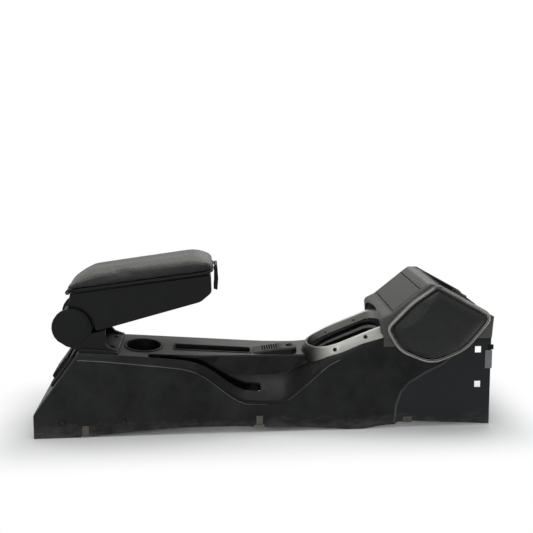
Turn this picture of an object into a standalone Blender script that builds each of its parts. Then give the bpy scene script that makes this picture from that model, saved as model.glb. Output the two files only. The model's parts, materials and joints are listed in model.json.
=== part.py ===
"""Centre console of a small car, from the rear end (X = 0) to the front end.

A moulded tunnel shell carries a cup holder, trays and a gear-lever bezel. A padded tower stands on its
front end, and a folding armrest box with a hinged lid stands on its rear end. Units are metres.
"""
import math

import bmesh
import bpy
from mathutils import Matrix, Vector

# Overall sizes
FLOOR_HALF_WIDTH = 0.100
SIDE_DRAFT = math.radians(7.35)
WALL = 0.003
CLEARANCE = 0.0003
CLIP_REACH = 0.005

# Shell: heights along its length
REAR_FOOT_HEIGHT = 0.050
REAR_SLOPE_RUN = 0.094
REAR_TOP_HEIGHT = 0.177
FRONT_TOP_HEIGHT = 0.222
SHOULDER_DROP = 0.008
SHOULDER_HALF_WIDTH = FLOOR_HALF_WIDTH - 0.031
RECESS_WALL_WIDTH = 0.004

# Foot of the armrest bracket, at the rear of the top
BRACKET_BASE_REAR = REAR_SLOPE_RUN + 0.002
BRACKET_BASE_LENGTH = 0.078
BRACKET_BASE_MARGIN = 0.006

# Openings in the top, one after another towards the front
CUP_DIAMETER = 0.078
CUP_DEPTH = 0.072
CUP_X = BRACKET_BASE_REAR + BRACKET_BASE_LENGTH + 0.0115 + CUP_DIAMETER / 2
TRAY_REAR = CUP_X + CUP_DIAMETER / 2 + 0.0285
TRAY_LENGTH = 0.168
TRAY_WIDTH = 0.032
TRAY_DEPTH = 0.045
COIN_REAR = TRAY_REAR + TRAY_LENGTH + 0.006
COIN_LENGTH = 0.098
COIN_WIDTH = 0.040
COIN_RISE = 0.013
BRAKE_SLOT_REAR = 0.238
BRAKE_SLOT_LENGTH = 0.242
BRAKE_SLOT_WIDTH = 0.019
BRAKE_SLOT_Y = 0.009 - SHOULDER_HALF_WIDTH

# Gear-lever bezel
BEZEL_NOSE_X = COIN_REAR + COIN_LENGTH + 0.013
BEZEL_HALF_WIDTH = SHOULDER_HALF_WIDTH + 0.001
BEZEL_NOSE_LENGTH = 0.078
BEZEL_LENGTH = 0.196
BEZEL_RISE = 0.020
BEZEL_DEPTH = 0.022
BEZEL_LEAN = 0.006
BEZEL_BAND = 0.012
BEZEL_CORNER = 0.030
GATE_BAND = 0.011
GATE_TOOTH = 0.0022

# Front end of the shell, and the tower on it
FRONT_RUN = 0.212
SHELL_LENGTH = BEZEL_NOSE_X + BEZEL_LENGTH + FRONT_RUN
OVERALL_LENGTH = SHELL_LENGTH + CLIP_REACH
TOWER_HALF_WIDTH = FLOOR_HALF_WIDTH - 0.0155
TOWER_WALL = 0.003
TOWER_ROUND = 0.006
ARCH_HALF_WIDTH = TOWER_HALF_WIDTH - 0.010
ARCH_RISE = 0.027
DOOR_GAP = 0.0013
DOOR_HALF_WIDTH = TOWER_HALF_WIDTH - 0.010
POCKET_HALF_WIDTH = TOWER_HALF_WIDTH - 0.0225
POCKET_DEPTH = 0.022
TRIM_WIDTH = 0.0075
TRIM_PROUD = 0.0080
PAD_PROUD = 0.0185

# Armrest
PIVOT_X = 0.082
PIVOT_Z = REAR_TOP_HEIGHT + 0.053
CHEEK_RADIUS = 0.041
CHEEK_HALF_WIDTH = 0.060
CHEEK_THICKNESS = 0.008
SHAFT_RADIUS = 0.006
HUB_RADIUS = 0.034
HUB_SIDE_GAP = 0.0026
BUSH_WALL = 0.003
BOX_HALF_WIDTH = 0.060
BOX_WALL = 0.003
BOX_FLOOR = 0.004
BOX_TO_CHEEK = 0.0065
LID_OVERHANG = 0.0015
LID_HALF_WIDTH = BOX_HALF_WIDTH + LID_OVERHANG
LID_REACH = 0.0085
LID_REAR_CORNER = 0.016
LID_FRONT_CORNER = 0.020
LID_BASE_THICKNESS = 0.005
PAD_HEIGHT = 0.017
PAD_CROWN = 0.010
PAD_REAR_FALL = 0.062
LID_PIN_RADIUS = 0.0025
LID_PIN_HALF_LENGTH = 0.0535
KNUCKLE_RADIUS = 0.0048
LATCH_WIDTH = 0.040
LATCH_PIN_RADIUS = 0.0011
LATCH_TOP = 0.0060
LATCH_DROP = 0.0425

# Rear panel with its own small ashtray
PANEL_START = 0.052
PANEL_LENGTH = 0.086
PANEL_HALF_WIDTH = 0.046
PANEL_THICKNESS = 0.007

# Fasteners
SCREW_HEAD_RADIUS = 0.0055
SCREW_SHANK_RADIUS = 0.0022
SCREW_SHANK_LENGTH = 0.010
SIDE_SCREW_X = (0.060, 0.188)
SIDE_SCREW_Z = 0.032
CLIP_NUT_X = (0.107, 0.475)
CLIP_NUT_WIDTH = 0.014
CLIP_NUT_HEIGHT = 0.020
CLIP_SHEET = 0.0008
NOTCH_WIDTH = 0.022
NOTCH_HEIGHT = 0.005
STEP_DEPTH = 0.0013
STEP_LENGTH = 0.2115
SLOT_CLIP_X = SHELL_LENGTH - STEP_LENGTH + 0.0265


def clear_scene():
    for obj in list(bpy.data.objects):
        bpy.data.objects.remove(obj, do_unlink=True)


def make_material(name, color, roughness, metallic=0.0):
    mat = bpy.data.materials.new(name)
    mat.use_nodes = True
    shader = mat.node_tree.nodes["Principled BSDF"]
    shader.inputs["Base Color"].default_value = (*color, 1.0)
    shader.inputs["Roughness"].default_value = roughness
    shader.inputs["Metallic"].default_value = metallic
    mat.diffuse_color = (*color, 1.0)
    return mat


clear_scene()
SHELL_BLACK = make_material("shell_black", (0.014, 0.014, 0.015), 0.45)
GRAIN_GREY = make_material("grained_grey", (0.040, 0.039, 0.035), 0.60)
TOWER_GREY = make_material("tower_grey", (0.110, 0.108, 0.098), 0.55)
TRIM_GREY = make_material("trim_grey", (0.300, 0.300, 0.280), 0.40)
BEZEL_SILVER = make_material("bezel_silver", (0.330, 0.330, 0.310), 0.35, 0.6)
SOFT_BLACK = make_material("soft_black", (0.020, 0.020, 0.021), 0.70)
SOFT_GREY = make_material("soft_grey", (0.110, 0.110, 0.103), 0.75)
STEEL = make_material("steel", (0.400, 0.390, 0.370), 0.35, 1.0)
FOAM = make_material("foam", (0.150, 0.160, 0.170), 0.90)

ORIGIN = bpy.data.objects.new("console_origin", None)
bpy.context.scene.collection.objects.link(ORIGIN)
ORIGIN.location = (-OVERALL_LENGTH / 2, 0.0, 0.0)


def finish(name, bm, mat, origin=(0.0, 0.0, 0.0), angle=35.0):
    """Turn a bmesh modelled in console coordinates into an object whose origin is the given point."""
    bmesh.ops.remove_doubles(bm, verts=bm.verts, dist=1e-6)
    bmesh.ops.recalc_face_normals(bm, faces=bm.faces)
    bmesh.ops.translate(bm, verts=bm.verts, vec=-Vector(origin))
    mesh = bpy.data.meshes.new(name)
    bm.to_mesh(mesh)
    bm.free()
    mesh.shade_smooth()
    mesh.set_sharp_from_angle(angle=math.radians(angle))
    mesh.materials.append(mat)
    obj = bpy.data.objects.new(name, mesh)
    bpy.context.scene.collection.objects.link(obj)
    obj.parent = ORIGIN
    obj.location = origin
    return obj


def boolean(target, tool, operation="DIFFERENCE"):
    mod = target.modifiers.new(tool.name, "BOOLEAN")
    mod.operation = operation
    mod.solver = "EXACT"
    mod.object = tool
    tool.hide_render = True
    tool.display_type = "WIRE"


def cutter(name, bm):
    return finish(name, bm, SHELL_BLACK)


def loft(bm, rings):
    """Skin a row of closed rings with equal point counts, with flat ends."""
    rows = [[bm.verts.new(point) for point in ring] for ring in rings]
    count = len(rows[0])
    for row, following in zip(rows, rows[1:]):
        for i in range(count):
            j = (i + 1) % count
            bm.faces.new((row[i], row[j], following[j], following[i]))
    bm.faces.new(list(reversed(rows[0])))
    bm.faces.new(rows[-1])


def ring_loft(bm, sections):
    """Skin closed sections round a closed path."""
    rows = [[bm.verts.new(point) for point in section] for section in sections]
    count = len(rows[0])
    for k, row in enumerate(rows):
        following = rows[(k + 1) % len(rows)]
        for i in range(count):
            j = (i + 1) % count
            bm.faces.new((row[i], row[j], following[j], following[i]))


def prism_y(bm, outline, y_low, y_high):
    loft(bm, [[(x, y, z) for x, z in outline] for y in (y_low, y_high)])


def prism_z(bm, outline, z_low, z_high):
    loft(bm, [[(x, y, z) for x, y in outline] for z in (z_low, z_high)])


def prism_x(bm, outline, x_low, x_high):
    loft(bm, [[(x, y, z) for y, z in outline] for x in (x_low, x_high)])


def rectangle(u_low, u_high, v_low, v_high):
    return [(u_low, v_low), (u_high, v_low), (u_high, v_high), (u_low, v_high)]


def circle(centre, radius, steps=32):
    turn = 2 * math.pi / steps
    return [(centre[0] + radius * math.cos(k * turn), centre[1] + radius * math.sin(k * turn))
            for k in range(steps)]


def rounded(corners, steps=5):
    """Closed outline from (u, v, radius) corners, each turned into an arc."""
    outline = []
    count = len(corners)
    for k, (u, v, radius) in enumerate(corners):
        point = Vector((u, v))
        back = Vector(corners[k - 1][:2]) - point
        ahead = Vector(corners[(k + 1) % count][:2]) - point
        half = back.angle(ahead) / 2
        if radius <= 0.0 or half > math.radians(89.5):
            outline.append((u, v))
            continue
        setback = min(radius / math.tan(half), 0.48 * back.length, 0.48 * ahead.length)
        fillet = setback * math.tan(half)
        middle = (back.normalized() + ahead.normalized()).normalized()
        centre = point + middle * (fillet / math.sin(half))
        start = point + back.normalized() * setback - centre
        end = point + ahead.normalized() * setback - centre
        sweep = start.angle_signed(end)
        for i in range(steps + 1):
            arm = start.copy()
            arm.rotate(Matrix.Rotation(-sweep * i / steps, 2))
            outline.append(tuple(centre + arm))
    return outline


def inset(outline, distance):
    """Outline moved inwards by a distance, for a polygon that runs anticlockwise."""
    moved = []
    count = len(outline)
    for k in range(count):
        point = Vector(outline[k])
        back = (point - Vector(outline[k - 1])).normalized()
        ahead = (Vector(outline[(k + 1) % count]) - point).normalized()
        normal_back = Vector((-back.y, back.x))
        normal_ahead = Vector((-ahead.y, ahead.x))
        middle = normal_back + normal_ahead
        stretch = 2.0 / max(middle.length_squared, 0.8)
        moved.append(tuple(point + middle * (distance * stretch)))
    return moved


def curve_through(points):
    """Height along X through the given points, without overshoot between them."""
    xs = [point[0] for point in points]
    zs = [point[1] for point in points]
    grades = [(zs[i + 1] - zs[i]) / (xs[i + 1] - xs[i]) for i in range(len(xs) - 1)]
    slopes = [grades[0]]
    for before, after in zip(grades, grades[1:]):
        slopes.append(0.0 if before * after <= 0 else 2 * before * after / (before + after))
    slopes.append(grades[-1])

    def height(x):
        x = min(max(x, xs[0]), xs[-1])
        i = max(k for k in range(len(xs) - 1) if xs[k] <= x)
        span = xs[i + 1] - xs[i]
        t = (x - xs[i]) / span
        return (zs[i] * (1 + 2 * t) * (1 - t) ** 2 + slopes[i] * span * t * (1 - t) ** 2
                + zs[i + 1] * t * t * (3 - 2 * t) + slopes[i + 1] * span * t * t * (t - 1))

    return height


def turned(bm, profile, place, steps=32):
    """Solid of revolution round the Z axis of a placing matrix, from (radius, height) points on the axis ends."""
    verts = [bm.verts.new(place @ Vector((radius, 0.0, height))) for radius, height in profile]
    edges = [bm.edges.new(pair) for pair in zip(verts, verts[1:])]
    axis = place.to_3x3() @ Vector((0.0, 0.0, 1.0))
    result = bmesh.ops.spin(bm, geom=verts + edges, cent=place.translation, axis=axis,
                            angle=2 * math.pi, steps=steps, use_merge=True)
    return result


# Lines of the shell along X, measured at the moulding's outer face
PLATE_END = 0.464
PLATE_END_HEIGHT = 0.150
PLATE_LINE = curve_through(((PLATE_END, PLATE_END_HEIGHT), (0.500, 0.1478), (0.560, 0.1465), (0.585, 0.1475),
                            (0.616, 0.154), (0.641, 0.163), (0.748, 0.203), (SHELL_LENGTH, FRONT_TOP_HEIGHT)))
RECESS_PROFILE = curve_through(((0.141, 0.0), (0.262, 0.065), (0.311, 0.105), (0.348, 0.229), (0.370, 0.405),
                                (0.431, 0.935), (0.447, 1.0), (0.520, 0.987), (0.542, 0.824), (0.574, 0.484),
                                (0.606, 0.170), (0.638, 0.013), (0.679, 0.0)))
BOTTOM_LINE = curve_through(((0.0, 0.0), (0.098, 0.0), (0.136, 0.004), (0.198, 0.009), (0.260, 0.013),
                             (0.337, 0.015), (0.431, 0.014), (0.465, 0.012), (0.563, 0.008),
                             (0.660, 0.001), (0.680, 0.0), (0.700, 0.0), (0.739, 0.006), (0.771, 0.008),
                             (0.779, 0.013), (0.800, 0.014), (SHELL_LENGTH, 0.003)))
RECESS_WALL = curve_through(((REAR_SLOPE_RUN, 0.007 - SHOULDER_HALF_WIDTH), (0.332, 0.015 - SHOULDER_HALF_WIDTH),
                             (0.430, 0.029 - SHOULDER_HALF_WIDTH), (0.520, 0.040 - SHOULDER_HALF_WIDTH),
                             (SHELL_LENGTH, 0.040 - SHOULDER_HALF_WIDTH)))
RECESS_DEPTH = 0.047
RECESS_EDGE_DROP = 0.0765
RECESS_START_DROP = 0.004


def rear_slope(x):
    return REAR_FOOT_HEIGHT + (REAR_TOP_HEIGHT - REAR_FOOT_HEIGHT) * x / REAR_SLOPE_RUN


def plate_height(x):
    """Height of the top plate: the rear slope, then one straight fall, then the rise under the bezel."""
    if x < REAR_SLOPE_RUN:
        return rear_slope(x)
    if x < PLATE_END:
        share = (x - REAR_SLOPE_RUN) / (PLATE_END - REAR_SLOPE_RUN)
        return REAR_TOP_HEIGHT + (PLATE_END_HEIGHT - REAR_TOP_HEIGHT) * share
    return PLATE_LINE(x)


def plate_tilt():
    """Fall of the straight stretch of the top plate, as an angle."""
    return math.atan2(REAR_TOP_HEIGHT - PLATE_END_HEIGHT, PLATE_END - REAR_SLOPE_RUN)


def left_edge(x):
    drop = SHOULDER_DROP * min(1.0, 0.25 + 0.75 * x / REAR_SLOPE_RUN)
    return plate_height(x) - drop


def recess_drop(x):
    """Fall of the right edge below the left one, where the hand brake passes."""
    return RECESS_EDGE_DROP * RECESS_PROFILE(x)


def right_edge(x):
    return left_edge(x) - recess_drop(x)


def side_y(z):
    """Half width of the drafted side wall at a height."""
    return FLOOR_HALF_WIDTH - z * math.tan(SIDE_DRAFT)


def recess_share(x):
    """0 where the top is whole, 1 where the hand-brake recess is deepest."""
    return max(0.0, recess_drop(x) - RECESS_START_DROP) / (RECESS_EDGE_DROP - RECESS_START_DROP)


def shell_section(x):
    """Outer points of the shell at one station, from the right bottom edge over the top to the left one."""
    bottom = BOTTOM_LINE(x) + WALL * math.sin(SIDE_DRAFT)
    plate = plate_height(x)
    right = right_edge(x)
    left = left_edge(x)
    share = recess_share(x)
    wall_y = RECESS_WALL(max(x, REAR_SLOPE_RUN))
    foot = plate - RECESS_DEPTH * share
    crest = plate - min(RECESS_DEPTH * share, 0.0025)
    lip = min(0.004, 0.5 * (plate - left) + 0.001)
    right_y = side_y(right)
    left_y = side_y(left)
    floor_rise = (foot - right - lip) * (1.0 - 0.55 * share)
    return [
        (-side_y(bottom), bottom),
        (-side_y((bottom + right) / 2), (bottom + right) / 2),
        (-side_y(right - lip), right - lip),
        (-right_y + 0.0014, right + 0.0008),
        (-right_y + 0.0048, right + lip),
        (-SHOULDER_HALF_WIDTH, right + lip + floor_rise * 0.93),
        (wall_y - 0.004, foot),
        (wall_y, foot + min(RECESS_DEPTH * share, 0.003)),
        (wall_y + RECESS_WALL_WIDTH, crest),
        (wall_y + RECESS_WALL_WIDTH + 0.003, plate),
        (0.020, plate),
        (SHOULDER_HALF_WIDTH, plate),
        (left_y - 0.0048, left + lip),
        (left_y - 0.0014, left + 0.0008),
        (side_y(left - lip), left - lip),
        (side_y((bottom + left) / 2), (bottom + left) / 2),
        (side_y(bottom), bottom),
    ]


def shell_stations():
    """Stations along the shell, close together where the recess falls and rises."""
    stations = [0.0, REAR_SLOPE_RUN, 0.098, 0.141, 0.198, 0.262]
    fall_start, fall_end, fall_steps = 0.306, 0.446, 8
    stations += [fall_start + (fall_end - fall_start) * k / fall_steps for k in range(fall_steps + 1)]
    stations += [PLATE_END, 0.492]
    rise_start, rise_end, rise_steps = 0.518, 0.680, 9
    stations += [rise_start + (rise_end - rise_start) * k / rise_steps for k in range(rise_steps + 1)]
    stations += [0.700, 0.739, 0.771, 0.779, 0.810, SHELL_LENGTH]
    return stations


def build_main_shell():
    bm = bmesh.new()
    rows = []
    for x in shell_stations():
        rows.append([bm.verts.new((x, y, z)) for y, z in shell_section(x)])
    for row, following in zip(rows, rows[1:]):
        for i in range(len(row) - 1):
            bm.faces.new((row[i], following[i], following[i + 1], row[i + 1]))
    bm.faces.new(rows[0])
    bmesh.ops.recalc_face_normals(bm, faces=bm.faces)
    if sum(face.normal.z * face.calc_area() for face in bm.faces) < 0:
        bmesh.ops.reverse_faces(bm, faces=bm.faces)
    mesh = bpy.data.meshes.new("main_shell")
    bm.to_mesh(mesh)
    bm.free()
    mesh.shade_smooth()
    mesh.set_sharp_from_angle(angle=math.radians(35))
    mesh.materials.append(SHELL_BLACK)
    shell = bpy.data.objects.new("main_shell", mesh)
    bpy.context.scene.collection.objects.link(shell)
    shell.parent = ORIGIN
    skin = shell.modifiers.new("wall", "SOLIDIFY")
    skin.thickness = WALL
    skin.offset = -1.0
    skin.use_even_offset = True
    skin.use_rim = True
    boolean(shell, build_shell_openings())
    boolean(shell, build_side_steps())
    return shell


def side_frame(x, z, side):
    """Matrix at a point of the outer side face: Z points out, X along the console, side is 1 left or -1 right."""
    out = Vector((0.0, side * math.cos(SIDE_DRAFT), math.sin(SIDE_DRAFT)))
    along = Vector((1.0, 0.0, 0.0))
    frame = Matrix((along, out.cross(along), out)).transposed().to_4x4()
    frame.translation = (x, side * side_y(z), z)
    return frame


def slope_frame(distance):
    """Matrix on the rear slope: X runs up the slope, Z points out of it, Y to the left."""
    angle = math.atan2(REAR_TOP_HEIGHT - REAR_FOOT_HEIGHT, REAR_SLOPE_RUN)
    up = Vector((math.cos(angle), 0.0, math.sin(angle)))
    out = Vector((-math.sin(angle), 0.0, math.cos(angle)))
    frame = Matrix((up, out.cross(up), out)).transposed().to_4x4()
    frame.translation = Vector((0.0, 0.0, REAR_FOOT_HEIGHT)) + up * distance
    return frame


def placed_prism(bm, outline, low, high, frame):
    """Prism of a local XY outline between two local heights, put in place by a matrix."""
    loft(bm, [[frame @ Vector((u, v, w)) for u, v in outline] for w in (low, high)])


def sunk_hole(bm, place, head_radius, depth, steps=12):
    """Cutter of a screw hole whose wider mouth takes the head."""
    shank = SCREW_SHANK_RADIUS + 2 * CLEARANCE
    rings = []
    for radius, height in ((shank, -0.020), (shank, -depth), (head_radius, -depth), (head_radius, 0.010)):
        rings.append([place @ Vector((u, v, height)) for u, v in circle((0.0, 0.0), radius, steps)])
    loft(bm, rings)


def brake_slot_outline(margin=0.0):
    half = BRAKE_SLOT_WIDTH / 2 + margin
    low = BRAKE_SLOT_REAR - margin
    high = BRAKE_SLOT_REAR + BRAKE_SLOT_LENGTH + margin
    return rounded([(low, BRAKE_SLOT_Y - half, half * 0.9), (high, BRAKE_SLOT_Y - half, 0.005),
                    (high, BRAKE_SLOT_Y + half, 0.005), (low, BRAKE_SLOT_Y + half, half * 0.9)], 6)


def bezel_outline(margin, steps=20, corner_steps=4):
    """Plan outline of the bezel: a rounded nose to the rear, nearly straight sides to the front."""
    half = BEZEL_HALF_WIDTH + margin
    nose = BEZEL_NOSE_LENGTH + margin
    centre_x = BEZEL_NOSE_X + BEZEL_NOSE_LENGTH
    front = BEZEL_NOSE_X + BEZEL_LENGTH + margin
    points = []
    for k in range(steps + 1):
        angle = math.pi / 2 + math.pi * k / steps
        points.append((centre_x + nose * math.cos(angle), half * math.sin(angle)))
    corner = BEZEL_CORNER
    for side in (-1, 1):
        start = -math.pi / 2 if side < 0 else 0.0
        for k in range(corner_steps + 1):
            angle = start + math.pi / 2 * k / corner_steps
            points.append((front - corner + corner * math.cos(angle),
                           side * (half - corner) + corner * math.sin(angle)))
    return points


def tray_outline(margin=0.0):
    half = TRAY_WIDTH / 2 + margin
    low = TRAY_REAR - margin
    high = TRAY_REAR + TRAY_LENGTH + margin
    return rounded([(low, -half, 0.006), (high, -half, 0.006), (high, half, 0.006), (low, half, 0.006)], 4)


def coin_stations():
    """Stations along the coin holder with its half width there: square to the rear, round to the front."""
    front = COIN_REAR + COIN_LENGTH
    nose = COIN_WIDTH * 0.42
    stations = [(COIN_REAR + COIN_LENGTH * k / 6, COIN_WIDTH / 2) for k in range(5)]
    for k in range(6):
        angle = math.radians(80) * k / 5
        stations.append((front - nose + nose * math.sin(angle),
                         COIN_WIDTH / 2 - nose + nose * math.cos(angle)))
    return stations


def coin_outline(margin=0.0):
    rows = [(x, half + margin) for x, half in coin_stations()]
    rows[0] = (rows[0][0] - margin, rows[0][1])
    rows[-1] = (rows[-1][0] + margin, rows[-1][1])
    return [(x, -half) for x, half in rows] + [(x, half) for x, half in reversed(rows)]


TOWER_OPENING = (BEZEL_NOSE_X + BEZEL_LENGTH + 0.027, SHELL_LENGTH - 0.023,
                 0.013 - SHOULDER_HALF_WIDTH, SHOULDER_HALF_WIDTH - 0.013)
SQUARE_HOLES = ((SHELL_LENGTH - 0.029, 0.170), (SHELL_LENGTH - 0.0285, 0.093))
SQUARE_HOLE_SIZE = 0.014


def build_shell_openings():
    bm = bmesh.new()
    below = PLATE_END_HEIGHT - 0.030
    above = REAR_TOP_HEIGHT + 0.023
    over_front = FRONT_TOP_HEIGHT + 0.038
    prism_z(bm, circle((CUP_X, 0.0), CUP_DIAMETER / 2 + CLEARANCE + 0.0012, 32), below, above)
    prism_z(bm, tray_outline(CLEARANCE + 0.0012), below, above)
    prism_z(bm, coin_outline(CLEARANCE), PLATE_END_HEIGHT - 0.050, above)
    prism_z(bm, brake_slot_outline(), REAR_FOOT_HEIGHT - 0.010, above)
    prism_z(bm, bezel_outline(CLEARANCE), REAR_FOOT_HEIGHT, over_front)
    prism_z(bm, rectangle(*TOWER_OPENING), PLATE_END_HEIGHT, over_front)
    panel = slope_frame(PANEL_START + PANEL_LENGTH / 2)
    half = PANEL_LENGTH / 2 - 0.014
    placed_prism(bm, rectangle(-half, half, -0.034, 0.034), -0.012, 0.012, panel)
    for place in bracket_screw_places():
        placed_prism(bm, circle((0.0, 0.0), SCREW_SHANK_RADIUS + CLEARANCE, 12), -0.020, 0.002, place)
    for u, v in rear_screw_spots():
        placed_prism(bm, circle((u, v), SCREW_SHANK_RADIUS + CLEARANCE, 12), -0.012, 0.012, panel)
    for side in (1, -1):
        for x in SIDE_SCREW_X:
            placed_prism(bm, circle((0.0, 0.0), SCREW_SHANK_RADIUS + CLEARANCE, 12), -0.012, 0.012,
                         side_frame(x, SIDE_SCREW_Z, side))
        for x, z in SQUARE_HOLES:
            reach = SQUARE_HOLE_SIZE / 2
            placed_prism(bm, rectangle(-reach, reach, -reach, reach), -0.012, 0.012, side_frame(x, z, side))
        for x in CLIP_NUT_X:
            placed_prism(bm, rectangle(-NOTCH_WIDTH / 2, NOTCH_WIDTH / 2, -0.020, 0.020), -0.012, 0.012,
                         side_frame(x, BOTTOM_LINE(x) + NOTCH_HEIGHT - 0.020, side))
    return cutter("shell_openings", bm)


DISH_RADIUS = 0.0115
DISH_DEPTH = 0.0014


def side_step_outline():
    """The recessed front plate, behind a quarter arc that opens to the front."""
    start = SHELL_LENGTH - STEP_LENGTH
    arc = [(start, -0.02), (start, 0.015), (start + 0.0035, 0.050), (start + 0.0135, 0.079),
           (start + 0.0305, 0.098), (start + 0.0695, 0.121), (start + 0.1045, 0.137),
           (start + 0.1315, 0.160), (start + 0.1515, 0.240)]
    front = SHELL_LENGTH + 0.02
    return [(front, -0.02), (front, 0.240)] + list(reversed(arc))


def build_side_steps():
    """Shallow cuts in the outer side faces: the front plates and the dishes round the screws."""
    bm = bmesh.new()
    slant = 1.0 / math.cos(SIDE_DRAFT)
    for side in (1, -1):
        base = side_frame(0.0, 0.0, side)
        outline = [(x, -side * z * slant) for x, z in side_step_outline()]
        placed_prism(bm, outline, -STEP_DEPTH, 0.02, base)
        for x in SIDE_SCREW_X:
            placed_prism(bm, circle((0.0, 0.0), DISH_RADIUS, 16), -DISH_DEPTH, 0.006,
                         side_frame(x, SIDE_SCREW_Z, side))
    return cutter("shell_side_steps", bm)


def build_cup_liner():
    """Turned cup with a thin rim that rests on the top plate."""
    bm = bmesh.new()
    radius = CUP_DIAMETER / 2
    wall = 0.002
    place = (Matrix.Translation((CUP_X, 0.0, plate_height(CUP_X) + CLEARANCE))
             @ Matrix.Rotation(plate_tilt(), 4, "Y"))
    profile = [(0.0, -CUP_DEPTH), (radius - 0.010, -CUP_DEPTH), (radius - 0.006, -CUP_DEPTH + 0.004),
               (radius, 0.0), (radius + 0.0045, 0.0), (radius + 0.0040, 0.0013), (radius - 0.0005, 0.0016),
               (radius - wall, 0.0006), (radius - 0.006 - wall, -CUP_DEPTH + 0.006),
               (radius - 0.012, -CUP_DEPTH + wall), (0.0, -CUP_DEPTH + wall)]
    turned(bm, profile, place, 24)
    return finish("cup_liner", bm, SHELL_BLACK)


def build_tray_liner():
    """Long narrow tray with a rim, hung in its slot."""
    bm = bmesh.new()
    rings = []
    drop = plate_height(TRAY_REAR) - plate_height(TRAY_REAR + TRAY_LENGTH)

    def ring(margin, depth):
        return [(x, y, plate_height(TRAY_REAR) - drop * (x - TRAY_REAR) / TRAY_LENGTH + CLEARANCE - depth)
                for x, y in tray_outline(margin)]

    rings.append(ring(-0.004, TRAY_DEPTH))
    rings.append(ring(0.0, 0.0))
    rings.append(ring(0.0035, 0.0))
    rings.append(ring(0.0030, -0.0012))
    rings.append(ring(-0.0005, -0.0014))
    rings.append(ring(-0.0018, 0.0))
    rings.append(ring(-0.0055, TRAY_DEPTH - 0.002))
    loft(bm, rings)
    return finish("tray_liner", bm, SHELL_BLACK)


def build_coin_holder():
    """Raised insert in front of the tray: ribbed coin slots and a boss with a round hole."""
    bm = bmesh.new()
    base = plate_height(COIN_REAR) - 0.012

    def crown(x):
        share = (x - COIN_REAR) / COIN_LENGTH
        return plate_height(x) + 0.0020 + COIN_RISE * share * (2.0 - share)

    rings = []
    for x, half in coin_stations():
        end = max(0.0, 1.0 - (COIN_REAR + COIN_LENGTH - x) / 0.012)
        top = crown(x) - 0.0035 * end * end
        rings.append([(x, -half, base), (x, -half, top - 0.003), (x, -half + 0.003, top), (x, half - 0.003, top),
                      (x, half, top - 0.003), (x, half, base)])
    loft(bm, rings)
    holder = finish("coin_holder", bm, SHELL_BLACK)
    slots = bmesh.new()
    for k in range(7):
        x = COIN_REAR + 0.020 + 0.0052 * k
        prism_z(slots, rectangle(x, x + 0.0026, -COIN_WIDTH / 2 + 0.006, COIN_WIDTH / 2 - 0.006),
                crown(x) - 0.009, crown(x) + 0.01)
    hole_x = COIN_REAR + COIN_LENGTH - 0.017
    prism_z(slots, circle((hole_x, 0.0), 0.0075, 20), crown(hole_x) - 0.014, crown(hole_x) + 0.02)
    boolean(holder, cutter("coin_slots", slots))
    return holder


def bezel_section(k, outline_out, outline_in):
    x, y = outline_out[k]
    u, v = outline_in[k]
    ground = plate_height(x)
    inner_ground = plate_height(u)
    lean = Vector((u - x, v - y)).normalized() * BEZEL_LEAN
    return [(x, y, ground - BEZEL_DEPTH), (x, y, ground + 0.002),
            (x + lean.x * 0.8, y + lean.y * 0.8, ground + BEZEL_RISE - 0.003),
            (x + lean.x * 1.2, y + lean.y * 1.2, ground + BEZEL_RISE),
            (u, v, inner_ground + BEZEL_RISE - 0.0005),
            (u, v, inner_ground - 0.006), (u, v, inner_ground - BEZEL_DEPTH)]


def build_shifter_bezel():
    """Closed band round the gear lever, leaning inwards to its rim and standing through the top plate."""
    bm = bmesh.new()
    outer = bezel_outline(0.0)
    inner = bezel_outline(-BEZEL_BAND)
    ring_loft(bm, [bezel_section(k, outer, inner) for k in range(len(outer))])
    bezel = finish("shifter_bezel", bm, BEZEL_SILVER)
    holes = bmesh.new()
    for place in bezel_screw_places():
        sunk_hole(holes, place, SCREW_HEAD_RADIUS * 0.75 + 2 * CLEARANCE, BEZEL_SCREW_SINK)
    boolean(bezel, cutter("bezel_screw_holes", holes))
    return bezel


BEZEL_SCREW_X = (BEZEL_NOSE_X + 0.063, BEZEL_NOSE_X + 0.129)
BEZEL_SCREW_SINK = 0.0030


def bezel_screw_places():
    """Screw axes on the outer band, leaning with it, right side first."""
    places = []
    lean = math.atan2(0.8 * BEZEL_LEAN, BEZEL_RISE - 0.005)
    for side in (-1, 1):
        for x in BEZEL_SCREW_X:
            out = Vector((0.0, side * math.cos(lean), math.sin(lean)))
            along = Vector((1.0, 0.0, 0.0))
            frame = Matrix((along, out.cross(along), out)).transposed().to_4x4()
            height = plate_height(x) + 0.0095
            y = BEZEL_HALF_WIDTH - 0.8 * BEZEL_LEAN * 0.0075 / (BEZEL_RISE - 0.005)
            arc = max(0.0, (BEZEL_NOSE_X + BEZEL_NOSE_LENGTH - x) / BEZEL_NOSE_LENGTH)
            y *= math.sqrt(1.0 - arc * arc)
            frame.translation = (x, side * y, height)
            places.append(frame)
    return places


def build_gate_frame():
    """Dark oval frame inside the bezel, with clip teeth for the lever boot along its inner edge."""
    bm = bmesh.new()
    outer = bezel_outline(-BEZEL_BAND - CLEARANCE)
    inner = bezel_outline(-BEZEL_BAND - GATE_BAND)
    sections = []
    for k, ((x, y), (u, v)) in enumerate(zip(outer, inner)):
        tooth = GATE_TOOTH if k % 2 else 0.0
        reach = Vector((u - x, v - y)).normalized() * tooth
        tip = (u + reach.x, v + reach.y)
        root = (x + 0.25 * (u - x), y + 0.25 * (v - y))
        top = plate_height(x) + 0.002
        low = plate_height(u)
        sections.append([(x, y, top - 0.016), (x, y, top), (*tip, low), (*tip, low - 0.004),
                         (*root, top - 0.006), (*root, top - 0.016)])
    ring_loft(bm, sections)
    return finish("gate_frame", bm, SHELL_BLACK)


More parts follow.
